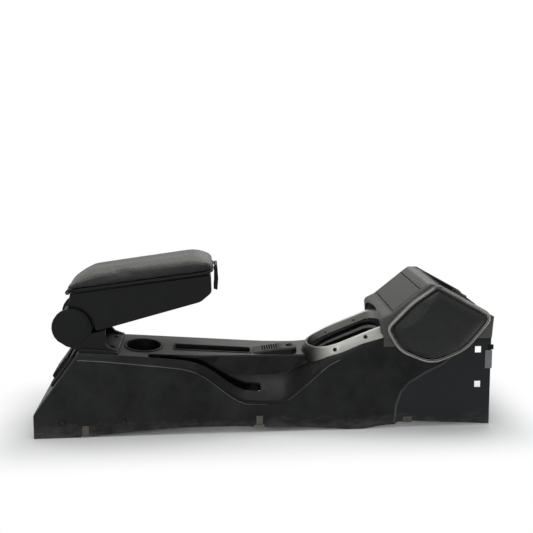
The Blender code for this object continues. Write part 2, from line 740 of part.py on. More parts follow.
def screw(name, place, head_radius=SCREW_HEAD_RADIUS, shank=SCREW_SHANK_LENGTH, mat=STEEL):
    """Pan-head screw with a dimple for the driver; the head's seat is at local height 0."""
    bm = bmesh.new()
    height = head_radius * 0.42
    profile = [(0.0, -shank - 0.002), (SCREW_SHANK_RADIUS, -shank), (SCREW_SHANK_RADIUS, 0.0), (head_radius, 0.0),
               (head_radius * 0.90, height * 0.6), (head_radius * 0.30, height), (0.0, height * 0.35)]
    turned(bm, profile, place, 8)
    return finish(name, bm, mat)


def build_side_screws():
    for side, label in ((-1, "right"), (1, "left")):
        for k, x in enumerate(SIDE_SCREW_X):
            place = side_frame(x, SIDE_SCREW_Z, side) @ Matrix.Translation((0.0, 0.0, CLEARANCE - DISH_DEPTH))
            screw("side_screw_%s_%d" % (label, k + 1), place)


def build_bezel_screws():
    for k, place in enumerate(bezel_screw_places()):
        seat = place @ Matrix.Translation((0.0, 0.0, CLEARANCE - BEZEL_SCREW_SINK))
        screw("bezel_screw_%d" % (k + 1), seat, SCREW_HEAD_RADIUS * 0.75, 0.006)


def edge_clip(name, x, z, side, length, height, sunk):
    """U-shaped sheet clip pushed over the shell's bottom edge; z is the edge it hooks under."""
    bm = bmesh.new()
    leaf = CLIP_SHEET
    frame = side_frame(x, z, side)
    near = CLEARANCE - sunk
    out = near + leaf
    low = -CLEARANCE - leaf
    wall = WALL + CLEARANCE
    outline = [(out, low), (out, height), (near, height), (near, -CLEARANCE), (-wall, -CLEARANCE),
               (-wall, height * 0.8), (-wall - leaf, height * 0.8), (-wall - leaf, low)]
    rings = []
    for u in (-length / 2, length / 2):
        rings.append([frame @ Vector((u, -side * v, w)) for w, v in outline])
    loft(bm, rings)
    return finish(name, bm, STEEL)


def build_clip_nuts():
    for side, label in ((-1, "right"), (1, "left")):
        for k, x in enumerate(CLIP_NUT_X):
            edge = BOTTOM_LINE(x) + NOTCH_HEIGHT - CLEARANCE
            edge_clip("clip_nut_%s_%d" % (label, k + 1), x, edge, side, CLIP_NUT_WIDTH, CLIP_NUT_HEIGHT, 0.0)
        edge = BOTTOM_LINE(SLOT_CLIP_X) - CLEARANCE
        edge_clip("slot_clip_%s" % label, SLOT_CLIP_X, edge, side, 0.020, 0.011, STEP_DEPTH)


def front_clip(name, z_low, z_high, side, reach, back, leaf, mat):
    """C-shaped piece folded round the shell's front edge."""
    bm = bmesh.new()
    frame = side_frame(SHELL_LENGTH, (z_low + z_high) / 2, side)
    half = (z_high - z_low) / 2
    outside = CLEARANCE - STEP_DEPTH + leaf
    inside = -WALL - CLEARANCE
    outline = [(-back, outside), (reach, outside), (reach, inside - leaf), (-back * 0.6, inside - leaf),
               (-back * 0.6, inside), (CLEARANCE, inside), (CLEARANCE, CLEARANCE - STEP_DEPTH),
               (-back, CLEARANCE - STEP_DEPTH)]
    loft(bm, [[frame @ Vector((u, v, w)) for u, w in outline] for v in (-half, half)])
    return finish(name, bm, mat)


def build_front_clips():
    for side, label in ((-1, "right"), (1, "left")):
        front_clip("foam_strip_%s" % label, 0.128, 0.168, side, 0.0022, 0.013, 0.0018, FOAM)
        front_clip("front_clip_%s" % label, 0.1695, 0.180, side, CLIP_REACH, 0.006, 0.0015, SHELL_BLACK)


def from_front_top(corners):
    """Corners given as (distance behind the front end, height above the shell's front top, radius)."""
    return tuple((SHELL_LENGTH - back, FRONT_TOP_HEIGHT + rise, radius) for back, rise, radius in corners)


TOWER_CORNERS = from_front_top((
    (0.233, -0.026, 0.004), (0.001, -0.026, 0.0), (0.0, 0.025, 0.004), (0.133, 0.0975, 0.014),
    (0.149, 0.1005, 0.016), (0.163, 0.090, 0.020), (0.2285, 0.0355, 0.020), (0.252, 0.024, 0.011),
    (0.2485, -0.010, 0.006)))
KITE_CORNERS = from_front_top((
    (0.243, 0.004, 0.020), (0.210, -0.050, 0.070), (0.135, -0.082, 0.062), (0.060, -0.050, 0.090),
    (0.001, 0.028, 0.020), (0.134, 0.101, 0.018), (0.189, 0.062, 0.150)))
SKIRT_CORNERS = from_front_top((
    (0.233, 0.0, 0.004), (0.206, -0.042, 0.050), (0.135, -0.070, 0.060), (0.067, -0.041, 0.080),
    (0.011, 0.028, 0.004), (0.134, 0.078, 0.010)))
TOWER_RIBS = ((0.190, -0.036), (0.135, -0.056), (0.062, -0.028))
TOWER_RIB_WIDTH = 0.003
PANEL_LOW = Vector(TOWER_CORNERS[6][:2])
PANEL_HIGH = Vector(TOWER_CORNERS[5][:2])
POCKET_HIGH = Vector(TOWER_CORNERS[3][:2])
POCKET_LOW = Vector(TOWER_CORNERS[2][:2])
POCKET_CORNER = 0.006


def tower_outline():
    return rounded(TOWER_CORNERS, 4)


def kite_outline():
    return rounded(KITE_CORNERS, 4)


def shrunk(outline, share):
    """Outline drawn towards the middle of its points by a share."""
    middle = sum((Vector(point) for point in outline), Vector((0.0, 0.0))) / len(outline)
    return [tuple(middle + (Vector(point) - middle) * share) for point in outline]


def pocket_outline(margin=0.0):
    """Plan outline of the pocket in the tower's front slope, in its own frame."""
    half = POCKET_HALF_WIDTH + margin
    return rounded([(-margin, -half, POCKET_CORNER), (POCKET_LENGTH + margin, -half, POCKET_CORNER),
                    (POCKET_LENGTH + margin, half, POCKET_CORNER), (-margin, half, POCKET_CORNER)], 3)


def build_tower_housing():
    """Hood over the front of the shell: skirts down both sides, a rear arch for the lever, openings on top."""
    bm = bmesh.new()
    outline = tower_outline()
    half = TOWER_HALF_WIDTH
    stations = ((-half, TOWER_ROUND), (-half + 0.0018, 0.0020), (-half + TOWER_ROUND, 0.0),
                (half - TOWER_ROUND, 0.0), (half - 0.0018, 0.0020), (half, TOWER_ROUND))
    loft(bm, [[(x, y, z) for x, z in inset(outline, margin)] for y, margin in stations])
    tower = finish("tower_housing", bm, TOWER_GREY)

    skirts = bmesh.new()
    skirt = rounded(SKIRT_CORNERS, 4)
    inner = half - TOWER_WALL
    prism_y(skirts, skirt, -half + 0.0001, -inner)
    prism_y(skirts, skirt, inner, half - 0.0001)
    boolean(tower, cutter("tower_skirts", skirts), "UNION")

    hollow = bmesh.new()
    below = FRONT_TOP_HEIGHT - 0.022
    hollow_corners = [(x, z - 0.06 if z < below else z, r) for x, z, r in TOWER_CORNERS]
    shape = inset(rounded(hollow_corners, 4), TOWER_WALL)
    shape = [(x + 0.02 if x > SHELL_LENGTH - 0.010 else x, z) for x, z in shape]
    prism_y(hollow, shape, -inner, inner)
    boolean(tower, cutter("tower_hollow", hollow))
    boolean(tower, build_tower_ribs(), "UNION")

    openings = bmesh.new()
    spring = FRONT_TOP_HEIGHT
    arch = [(-ARCH_HALF_WIDTH, spring - 0.07), (ARCH_HALF_WIDTH, spring - 0.07), (ARCH_HALF_WIDTH, spring)]
    for k in range(1, 12):
        angle = math.pi * k / 12
        arch.append((ARCH_HALF_WIDTH * math.cos(angle), spring + ARCH_RISE * math.sin(angle) ** 0.8))
    arch.append((-ARCH_HALF_WIDTH, spring))
    rear = TOWER_CORNERS[7][0]
    prism_x(openings, arch, rear - 0.03, rear + 0.027)
    placed_prism(openings, rectangle(-DOOR_GAP * 0.5, door_length() + DOOR_GAP * 1.5,
                                     -DOOR_HALF_WIDTH - DOOR_GAP, DOOR_HALF_WIDTH + DOOR_GAP),
                 -0.0085, 0.012, panel_frame())
    placed_prism(openings, pocket_outline(), -0.010, 0.010, pocket_frame())
    boolean(tower, cutter("tower_openings", openings))
    return tower


def build_tower_ribs():
    """Ribs inside the skirts, shaped to the drafted sides of the shell, that carry the tower."""
    bm = bmesh.new()
    face = TOWER_HALF_WIDTH - TOWER_WALL + 0.0005
    for side in (-1, 1):
        for back, rise in TOWER_RIBS:
            x = SHELL_LENGTH - back
            low = FRONT_TOP_HEIGHT + rise
            high = left_edge(x) - 0.005
            outline = [(side_y(low) + CLEARANCE, low), (face, low), (face, high), (side_y(high) + CLEARANCE, high)]
            prism_x(bm, [(side * y, z) for y, z in outline], x - TOWER_RIB_WIDTH / 2, x + TOWER_RIB_WIDTH / 2)
    return cutter("tower_ribs", bm)


def panel_frame():
    """Frame on the rear slope of the tower: X up the slope from the door's lower edge, Z out of the face."""
    along = (PANEL_HIGH - PANEL_LOW).normalized()
    up = Vector((along.x, 0.0, along.y))
    out = Vector((-along.y, 0.0, along.x))
    frame = Matrix((up, out.cross(up), out)).transposed().to_4x4()
    start = PANEL_LOW + along * 0.005
    frame.translation = (start.x, 0.0, start.y)
    return frame


def door_length():
    return (PANEL_HIGH - PANEL_LOW).length - 0.012


POCKET_START = 0.016
POCKET_LENGTH = 0.090


def pocket_frame():
    """Frame on the front slope of the tower: X down the slope to the front, Z out of the face."""
    along = (POCKET_LOW - POCKET_HIGH).normalized()
    ahead = Vector((along.x, 0.0, along.y))
    out = Vector((-along.y, 0.0, along.x))
    frame = Matrix((ahead, out.cross(ahead), out)).transposed().to_4x4()
    start = POCKET_HIGH + along * POCKET_START
    frame.translation = (start.x, 0.0, start.y)
    return frame


DOOR_AXIS_U = 0.0062
DOOR_AXIS_DEPTH = 0.0050
DOOR_PIN_RADIUS = 0.0016
DOOR_THICKNESS = 0.0030
DOOR_LUG_Y = 0.058
DOOR_LUG_WIDTH = 0.007


def door_axis():
    return panel_frame() @ Vector((DOOR_AXIS_U, 0.0, -DOOR_AXIS_DEPTH))


def build_ashtray_door():
    """Flat flap in the tower's rear slope, hinged at its lower edge on two lugs."""
    bm = bmesh.new()
    frame = panel_frame()
    length = door_length()
    low = DOOR_GAP * 0.5
    profile = [(low + 0.0012, 0.0), (length - 0.0006, 0.0), (length, -0.0006), (length, -DOOR_THICKNESS),
               (low, -DOOR_THICKNESS), (low, -0.0014)]
    rings = []
    for v in (-DOOR_HALF_WIDTH, DOOR_HALF_WIDTH):
        rings.append([frame @ Vector((u, v, w)) for u, w in profile])
    loft(bm, rings)
    door = finish("ashtray_door", bm, TOWER_GREY, origin=door_axis())
    lugs = bmesh.new()
    radius = DOOR_PIN_RADIUS + 0.0018
    for side in (-1, 1):
        lug = [(DOOR_AXIS_U - radius, -DOOR_AXIS_DEPTH), (DOOR_AXIS_U - radius, -DOOR_THICKNESS + 0.0010),
               (DOOR_AXIS_U + radius * 1.6, -DOOR_THICKNESS + 0.0010)]
        for k in range(9):
            angle = -math.pi * k / 8
            lug.append((DOOR_AXIS_U + radius * math.cos(angle), -DOOR_AXIS_DEPTH + radius * math.sin(angle)))
        lug.pop()
        rings = []
        for v in (side * DOOR_LUG_Y - DOOR_LUG_WIDTH / 2, side * DOOR_LUG_Y + DOOR_LUG_WIDTH / 2):
            rings.append([frame @ Vector((u, v, w)) for u, w in lug])
        loft(lugs, rings)
    boolean(door, cutter("ashtray_door_lugs", lugs), "UNION")
    bore = bmesh.new()
    axis_line(bore, frame, DOOR_AXIS_U, -DOOR_AXIS_DEPTH, DOOR_PIN_RADIUS + CLEARANCE, 0.08)
    boolean(door, cutter("ashtray_door_bore", bore))
    return door


def axis_line(bm, frame, u, w, radius, half_length, steps=16):
    """Round bar along Y through a point of a frame."""
    turn = 2 * math.pi / steps
    rings = []
    for v in (-half_length, half_length):
        rings.append([frame @ Vector((u + radius * math.cos(k * turn), v, w + radius * math.sin(k * turn)))
                      for k in range(steps)])
    loft(bm, rings)


BIN_SIDE_REACH = 0.0047
BIN_END_REACH = 0.0058
BIN_WALL = 0.0018
BIN_DEPTH = 0.036
BIN_TAPER = 0.010
BIN_CORNER = 0.006


def build_ashtray_pin():
    bm = bmesh.new()
    reach = DOOR_HALF_WIDTH + BIN_SIDE_REACH
    axis_line(bm, panel_frame(), DOOR_AXIS_U, -DOOR_AXIS_DEPTH, DOOR_PIN_RADIUS, reach - 0.0002)
    return finish("ashtray_hinge_pin", bm, STEEL)


def build_ashtray_bin():
    """Open bin behind the door, seated under the tower's wall; its side walls hold the hinge pin."""
    bm = bmesh.new()
    frame = panel_frame()
    top = -TOWER_WALL - CLEARANCE

    def ring(shrink, w):
        low = -BIN_END_REACH + shrink
        high = door_length() + BIN_END_REACH - shrink
        half = DOOR_HALF_WIDTH + BIN_SIDE_REACH - shrink
        return [frame @ Vector((u, v, w)) for u, v in
                rounded([(low, -half, BIN_CORNER), (high, -half, BIN_CORNER),
                         (high, half, BIN_CORNER), (low, half, BIN_CORNER)], 3)]

    loft(bm, [ring(BIN_TAPER, top - BIN_DEPTH), ring(0.0, top - 0.007), ring(0.0, top), ring(BIN_WALL, top),
              ring(BIN_WALL, top - 0.007), ring(BIN_TAPER + BIN_WALL, top - BIN_DEPTH + BIN_WALL)])
    tray = finish("ashtray_bin", bm, SHELL_BLACK)
    bore = bmesh.new()
    axis_line(bore, frame, DOOR_AXIS_U, -DOOR_AXIS_DEPTH, DOOR_PIN_RADIUS + CLEARANCE * 0.2, 0.08)
    boolean(tray, cutter("ashtray_bin_bore", bore))
    return tray


def build_tower_tray():
    """Open pocket let into the tower's front slope, with ribs across its floor."""
    bm = bmesh.new()
    frame = pocket_frame()

    def ring(margin, w):
        return [frame @ Vector((u, v, w)) for u, v in pocket_outline(margin)]

    loft(bm, [ring(-0.005, -POCKET_DEPTH), ring(-CLEARANCE - 0.0005, CLEARANCE), ring(0.003, CLEARANCE),
              ring(0.0028, 0.0016), ring(-0.0020, 0.0016), ring(-0.0070, -POCKET_DEPTH + 0.002)])
    tray = finish("tower_tray", bm, SHELL_BLACK)
    ribs = bmesh.new()
    for k in range(6):
        u = 0.014 + 0.0125 * k
        rings = []
        for v in (-POCKET_HALF_WIDTH + 0.0045, POCKET_HALF_WIDTH - 0.0045):
            rings.append([frame @ Vector((u + du, v, w)) for du, w in
                          ((0.0, -POCKET_DEPTH + 0.001), (0.002, -POCKET_DEPTH + 0.001), (0.0015, -0.010),
                           (0.0005, -0.010))])
        loft(ribs, rings)
    boolean(tray, cutter("tower_tray_ribs", ribs), "UNION")
    return tray


def build_knee_pads():
    """Soft bolsters on both sides of the tower, each in a raised trim ring."""
    half = TOWER_HALF_WIDTH
    outer = kite_outline()
    for side, label in ((-1, "right"), (1, "left")):
        bm = bmesh.new()
        base = half + CLEARANCE
        sections = []
        inner = inset(outer, TRIM_WIDTH)
        step_one = inset(outer, 0.0015)
        step_two = inset(outer, TRIM_WIDTH * 0.55)
        for k in range(len(outer)):
            sections.append([(outer[k][0], side * base, outer[k][1]),
                             (step_one[k][0], side * (base + TRIM_PROUD * 0.85), step_one[k][1]),
                             (step_two[k][0], side * (base + TRIM_PROUD), step_two[k][1]),
                             (inner[k][0], side * (base + TRIM_PROUD * 0.75), inner[k][1]),
                             (inner[k][0], side * base, inner[k][1])])
        ring_loft(bm, sections)
        finish("knee_trim_%s" % label, bm, TRIM_GREY)
        bm = bmesh.new()
        edge = inset(outer, TRIM_WIDTH + CLEARANCE)
        rings = []
        for share, proud in ((1.0, 0.0), (0.985, TRIM_PROUD * 0.9), (0.88, PAD_PROUD * 0.72), (0.70, PAD_PROUD * 0.93),
                             (0.40, PAD_PROUD)):
            rings.append([(x, side * (base + proud), z) for x, z in shrunk(edge, share)])
        loft(bm, rings)
        finish("knee_pad_%s" % label, bm, SOFT_BLACK)


def pivot():
    return Vector((PIVOT_X, 0.0, PIVOT_Z))


def bracket_base():
    """Rear and front end of the bracket's base on the straight part of the top plate."""
    return BRACKET_BASE_REAR, BRACKET_BASE_REAR + BRACKET_BASE_LENGTH


def bracket_side_outline():
    """Cheek of the armrest bracket: a disc on a foot that spreads to the base."""
    base_low, base_high = bracket_base()
    low = plate_height(base_high) + 0.0065
    points = []
    steps = 18
    for k in range(steps + 1):
        angle = math.radians(-38) + math.radians(262) * k / steps
        points.append((PIVOT_X + CHEEK_RADIUS * math.cos(angle), PIVOT_Z + CHEEK_RADIUS * math.sin(angle)))
    points += [(PIVOT_X - 0.012, PIVOT_Z - 0.0405), (base_low - 0.002, plate_height(base_low) + 0.0045),
               (base_low, plate_height(base_low) + 0.0010), (base_high, plate_height(base_high) + 0.0010),
               (base_high, low), (PIVOT_X + 0.040, PIVOT_Z - 0.040)]
    return points


def build_armrest_bracket():
    """Fork that carries the armrest: a base on the top plate, two cheeks and a rear web between them."""
    bm = bmesh.new()
    outline = bracket_side_outline()
    inner = CHEEK_HALF_WIDTH - CHEEK_THICKNESS
    prism_y(bm, outline, -CHEEK_HALF_WIDTH, -inner)
    bracket = finish("armrest_bracket", bm, GRAIN_GREY)
    other = bmesh.new()
    prism_y(other, outline, inner, CHEEK_HALF_WIDTH)
    boolean(bracket, cutter("bracket_left_cheek", other), "UNION")
    base = bmesh.new()
    base_low, base_high = bracket_base()
    half = CHEEK_HALF_WIDTH + BRACKET_BASE_MARGIN
    profile = [(base_low, plate_height(base_low) + CLEARANCE),
               (base_high + 0.002, plate_height(base_high + 0.002) + CLEARANCE),
               (base_high + 0.002, plate_height(base_high) + 0.0035),
               (base_high - 0.003, plate_height(base_high) + 0.0055),
               (base_low + 0.006, plate_height(base_low) + 0.0065),
               (PIVOT_X - 0.002, PIVOT_Z - HUB_RADIUS - 0.0025),
               (PIVOT_X - 0.014, PIVOT_Z - HUB_RADIUS + 0.0005), (PIVOT_X - 0.013, PIVOT_Z - 0.0400),
               (base_low - 0.002, plate_height(base_low) + 0.0050)]
    prism_y(base, profile, -inner - 0.001, inner + 0.001)
    boolean(bracket, cutter("bracket_web", base), "UNION")
    feet = bmesh.new()
    foot = profile[:5] + [(base_low - 0.002, plate_height(base_low) + 0.0050)]
    prism_y(feet, foot, -half, half)
    boolean(bracket, cutter("bracket_foot", feet), "UNION")
    holes = bmesh.new()
    axis = Matrix.Translation(pivot())
    axis_line(holes, axis, 0.0, 0.0, SHAFT_RADIUS + CLEARANCE * 0.3, 0.08, 24)
    for place in bracket_screw_places():
        placed_prism(holes, circle((0.0, 0.0), SCREW_SHANK_RADIUS + CLEARANCE, 12), -0.010, 0.010, place)
    boolean(bracket, cutter("bracket_holes", holes))
    return bracket


def bracket_screw_places():
    places = []
    base_low, base_high = bracket_base()
    for x in (base_high - 0.012, base_high - 0.036):
        for y in (-0.034, 0.034):
            share = (x - base_low - 0.006) / (base_high - 0.009 - base_low)
            z = (plate_height(base_low) + 0.0065) * (1 - share) + (plate_height(base_high) + 0.0055) * share
            places.append(Matrix.Translation((x, y, z + 2 * CLEARANCE)) @ Matrix.Rotation(plate_tilt(), 4, "Y"))
    return places


def build_bracket_screws():
    for k, place in enumerate(bracket_screw_places()):
        screw("bracket_screw_%d" % (k + 1), place)


BOX_TOP_REAR = Vector((PIVOT_X + 0.001, PIVOT_Z + 0.076))
BOX_TOP_FRONT = Vector((PIVOT_X + 0.289, PIVOT_Z + 0.113))
BOX_NOSE = Vector((PIVOT_X + 0.2935, PIVOT_Z + 0.072))
BOX_BOTTOM_FRONT = Vector((PIVOT_X + 0.270, PIVOT_Z + 0.0515))
BOX_BOTTOM_REAR = Vector((PIVOT_X + 0.0525, PIVOT_Z - 0.0085))
BOX_HEEL = Vector((PIVOT_X - 0.0025, PIVOT_Z + 0.062))


def box_frame():
    """Frame on the rim of the armrest box: X forward along the rim, Z up out of the box."""
    along = (BOX_TOP_FRONT - BOX_TOP_REAR).normalized()
    ahead = Vector((along.x, 0.0, along.y))
    out = Vector((-along.y, 0.0, along.x))
    frame = Matrix((ahead, out.cross(ahead), out)).transposed().to_4x4()
    frame.translation = (BOX_TOP_REAR.x, 0.0, BOX_TOP_REAR.y)
    return frame


def box_length():
    return (BOX_TOP_FRONT - BOX_TOP_REAR).length


def pivot_arc(radius, start, end, steps):
    """Points of an arc round the pivot in the side view, between two angles in degrees."""
    angles = [math.radians(start + (end - start) * k / steps) for k in range(steps + 1)]
    return [(PIVOT_X + radius * math.cos(angle), PIVOT_Z + radius * math.sin(angle)) for angle in angles]


def box_side_outline():
    """Side view of the armrest box, anticlockwise, with the hollow that clears the bracket cheeks."""
    body = rounded([(*BOX_BOTTOM_REAR, 0.004), (*BOX_BOTTOM_FRONT, 0.030), (*BOX_NOSE, 0.012),
                    (*BOX_TOP_FRONT, 0.001), (*BOX_TOP_REAR, 0.001), (*BOX_HEEL, 0.004)], 3)
    return body + pivot_arc(CHEEK_RADIUS + BOX_TO_CHEEK, 101, -5, 11)


def box_floor_height(x):
    """Height of the floor inside the box, parallel to its underside."""
    slope = (BOX_BOTTOM_FRONT.y - BOX_BOTTOM_REAR.y) / (BOX_BOTTOM_FRONT.x - BOX_BOTTOM_REAR.x)
    return BOX_BOTTOM_REAR.y + slope * (x - BOX_BOTTOM_REAR.x) + BOX_FLOOR * math.hypot(1.0, slope)


def box_cavity_outline():
    """Side view of the hollow in the box, open at the rim: floor, front wall, rim, rear wall, pivot arc."""
    radius = CHEEK_RADIUS + BOX_TO_CHEEK + BOX_WALL
    rear = PIVOT_X + radius + 0.003
    front = BOX_BOTTOM_FRONT.x - 0.004
    frame = box_frame()
    rim_front = (frame @ Vector((box_length() - BOX_WALL, 0.0, 0.010))).xz
    rim_rear = (frame @ Vector((BOX_WALL + 0.002, 0.0, 0.010))).xz
    body = rounded([(rear, box_floor_height(rear), 0.004), (front, box_floor_height(front), 0.026),
                    (BOX_NOSE.x - BOX_WALL - 0.001, BOX_NOSE.y + 0.002, 0.008), (*rim_front, 0.0),
                    (*rim_rear, 0.0), (BOX_HEEL.x + BOX_WALL + 0.003, BOX_HEEL.y, 0.004)], 3)
    return body + pivot_arc(radius, 86, 8, 8)


def build_armrest_box():
    """Open storage box with a hub between the bracket cheeks."""
    bm = bmesh.new()
    outline = box_side_outline()
    half = BOX_HALF_WIDTH
    stations = ((-half, 0.0035), (-half + 0.0012, 0.0010), (-half + 0.0035, 0.0), (half - 0.0035, 0.0),
                (half - 0.0012, 0.0010), (half, 0.0035))
    loft(bm, [[(x, y, z) for x, z in inset(outline, margin)] for y, margin in stations])
    box = finish("armrest_box", bm, GRAIN_GREY, origin=pivot())

    hub = bmesh.new()
    hub_half = hub_half_width()
    neck = pivot_arc(HUB_RADIUS, 140, 320, 10)
    neck += [(PIVOT_X + 0.0485, PIVOT_Z + 0.004), (PIVOT_X + 0.034, PIVOT_Z + 0.035),
             (PIVOT_X + 0.004, PIVOT_Z + 0.0490), (PIVOT_X - 0.0005, PIVOT_Z + 0.0490)]
    prism_y(hub, neck, -hub_half, hub_half)
    boolean(box, cutter("armrest_hub", hub), "UNION")

    cuts = bmesh.new()
    prism_y(cuts, box_cavity_outline(), BOX_WALL - half, half - BOX_WALL)
    axis_line(cuts, Matrix.Translation(pivot()), 0.0, 0.0, SHAFT_RADIUS + BUSH_WALL + CLEARANCE,
              hub_half + 0.003, 20)
    boolean(box, cutter("armrest_box_hollow", cuts))
    knuckles = bmesh.new()
    axis = lid_axis()
    foot = box_frame() @ Vector((0.002, 0.0, -0.010))
    radius = KNUCKLE_RADIUS
    outline = [(axis.x - radius, axis.z), (foot.x - 0.0025, foot.z), (foot.x + 0.002, foot.z),
               (axis.x + radius, axis.z - 0.0010)]
    for k in range(1, 6):
        angle = math.pi * k / 6
        outline.append((axis.x + radius * math.cos(angle), axis.z + radius * math.sin(angle) - 0.0004))
    for centre in BOX_KNUCKLES:
        prism_y(knuckles, outline, centre - BOX_KNUCKLE_WIDTH / 2, centre + BOX_KNUCKLE_WIDTH / 2)
    boolean(box, cutter("armrest_box_knuckles", knuckles), "UNION")
    bore = bmesh.new()
    axis_line(bore, Matrix.Translation(axis), 0.0, 0.0, LID_PIN_RADIUS + CLEARANCE * 0.2,
              LID_PIN_HALF_LENGTH + 0.005, 16)
    boolean(box, cutter("armrest_box_bore", bore))
    return box


BOX_KNUCKLES = (-0.030, 0.030)
BOX_KNUCKLE_WIDTH = 0.018
LID_KNUCKLES = (0.0, -0.047, 0.047)
LID_KNUCKLE_WIDTH = 0.0144


def hub_half_width():
    """Half width of the hub between the bracket's cheeks."""
    return CHEEK_HALF_WIDTH - CHEEK_THICKNESS - HUB_SIDE_GAP


def lid_axis():
    """Hinge line of the lid, just behind the rear rim of the box."""
    return box_frame() @ Vector((-0.0065, 0.0, -0.0005))


def lid_outline(margin=0.0):
    """Plan outline of the lid in the box frame."""
    half = LID_HALF_WIDTH - margin
    low = 0.0005 + margin
    high = box_length() + LID_REACH - margin
    return rounded([(low, -half, LID_REAR_CORNER), (high, -half, LID_FRONT_CORNER), (high, half, LID_FRONT_CORNER),
                    (low, half, LID_REAR_CORNER)], 5)


def build_lid_base():
    """Moulded underside of the lid with the hinge knuckles at its rear."""
    bm = bmesh.new()
    frame = box_frame()
    low = CLEARANCE
    high = low + LID_BASE_THICKNESS
    rings = []
    for margin, w in ((0.0025, low), (0.0004, low + 0.0012), (0.0, high - 0.001), (0.0006, high)):
        rings.append([frame @ Vector((u, v, w)) for u, v in lid_outline(margin)])
    loft(bm, rings)
    lid = finish("lid_base", bm, SHELL_BLACK, origin=lid_axis())
    arms = bmesh.new()
    axis = lid_axis()
    arm = [(-0.0019, low + 0.0003), (0.004, low + 0.0003), (0.004, high - 0.001)]
    outline = [tuple((frame @ Vector((u, 0.0, w))).xz) for u, w in arm]
    outline.append((axis.x + 0.001, axis.z + 0.0056))
    for k in range(1, 8):
        angle = math.radians(95) + math.radians(255) * k / 8
        outline.append((axis.x + KNUCKLE_RADIUS * math.cos(angle), axis.z + KNUCKLE_RADIUS * math.sin(angle)))
    for centre in LID_KNUCKLES:
        prism_y(arms, outline, centre - LID_KNUCKLE_WIDTH / 2, centre + LID_KNUCKLE_WIDTH / 2)
    boolean(lid, cutter("lid_knuckles", arms), "UNION")
    cuts = bmesh.new()
    axis_line(cuts, Matrix.Translation(axis), 0.0, 0.0, LID_PIN_RADIUS + CLEARANCE, 0.070, 16)
    boolean(lid, cutter("lid_bore", cuts))
    return lid


def build_lid_pin():
    bm = bmesh.new()
    axis_line(bm, Matrix.Translation(lid_axis()), 0.0, 0.0, LID_PIN_RADIUS, LID_PIN_HALF_LENGTH, 16)
    return finish("lid_hinge_pin", bm, STEEL)


def build_lid_pad():
    """Padded top of the lid, crowned, falling away to the rear."""
    bm = bmesh.new()
    frame = box_frame()
    base = CLEARANCE * 2 + LID_BASE_THICKNESS
    length = box_length() + LID_REACH

    def fall(u):
        rear = max(0.0, 1.0 - u / PAD_REAR_FALL)
        front = max(0.0, (u - length + LID_FRONT_CORNER) / LID_FRONT_CORNER)
        return 1.0 - 0.72 * rear ** 1.7 - 0.22 * front * front

    rings = []
    for margin, share, crown in ((0.0015, 0.0, 0.0), (0.0, 0.18, 0.0), (0.0, 0.62, 0.0), (0.0030, 1.0, 0.10),
                                 (0.0090, 1.0, 0.45), (0.0200, 1.0, 0.80), (0.0380, 1.0, 1.0)):
        ring = []
        for u, v in lid_outline(margin):
            height = (PAD_HEIGHT * share + PAD_CROWN * crown) * fall(u)
            ring.append(frame @ Vector((u, v, base + height)))
        rings.append(ring)
    loft(bm, rings)
    return finish("lid_pad", bm, SOFT_GREY, origin=lid_axis())


LATCH_STANDOFF = 0.0050
LATCH_BACK = 0.0030
EAR_WIDTH = 0.0050
EAR_GAP = 0.0006


def latch_axis():
    return box_frame() @ Vector((box_length() + LID_REACH + LATCH_STANDOFF, 0.0, 0.0030))


def build_lid_latch():
    """Thumb paddle at the front of the lid, hung on its pin near the top."""
    bm = bmesh.new()
    axis = latch_axis()
    outline = rounded([(0.0035, LATCH_TOP - 0.001, 0.002), (-LATCH_BACK + 0.0005, LATCH_TOP, 0.001),
                       (-LATCH_BACK, -0.0060, 0.001), (-0.0010, -LATCH_DROP + 0.0125, 0.002),
                       (-0.0020, -LATCH_DROP + 0.0025, 0.0005), (0.0035, -LATCH_DROP, 0.0015),
                       (0.0055, -LATCH_DROP / 2, 0.010)], 3)
    prism_y(bm, [(axis.x + u, axis.z + w) for u, w in outline], -LATCH_WIDTH / 2, LATCH_WIDTH / 2)
    latch = finish("lid_latch", bm, GRAIN_GREY, origin=axis)
    bore = bmesh.new()
    axis_line(bore, Matrix.Translation(axis), 0.0, 0.0, LATCH_PIN_RADIUS + CLEARANCE, LATCH_WIDTH, 12)
    boolean(latch, cutter("latch_bore", bore))
    return latch


def build_latch_pin():
    """Pin of the latch, held by the ears either side of it."""
    bm = bmesh.new()
    reach = LATCH_WIDTH / 2 + EAR_GAP + EAR_WIDTH - 0.001
    axis_line(bm, Matrix.Translation(latch_axis()), 0.0, 0.0, LATCH_PIN_RADIUS, reach, 12)
    return finish("latch_pin", bm, STEEL)


def build_latch_ears():
    """Two small ears at the lid's front edge, either side of the paddle."""
    frame = box_frame()
    axis = latch_axis()
    strip_low = box_length() + LID_REACH + CLEARANCE
    for side, label in ((-1, "right"), (1, "left")):
        bm = bmesh.new()
        inner = LATCH_WIDTH / 2 + EAR_GAP
        outline = [tuple((frame @ Vector((strip_low, 0.0, -0.0005))).xz), (axis.x + 0.0020, axis.z - 0.0030),
                   (axis.x + 0.0032, axis.z), (axis.x + 0.0020, axis.z + 0.0030),
                   tuple((frame @ Vector((strip_low, 0.0, 0.0070))).xz)]
        ends = sorted((side * inner, side * (inner + EAR_WIDTH)))
        prism_y(bm, outline, ends[0], ends[1])
        ear = finish("latch_ear_%s" % label, bm, SHELL_BLACK)
        bore = bmesh.new()
        axis_line(bore, Matrix.Translation(axis), 0.0, 0.0, LATCH_PIN_RADIUS + CLEARANCE * 0.2, LATCH_WIDTH, 12)
        boolean(ear, cutter("latch_ear_bore_%s" % label, bore))


MAT_THICKNESS = 0.0015
MAT_MARGIN = 0.002


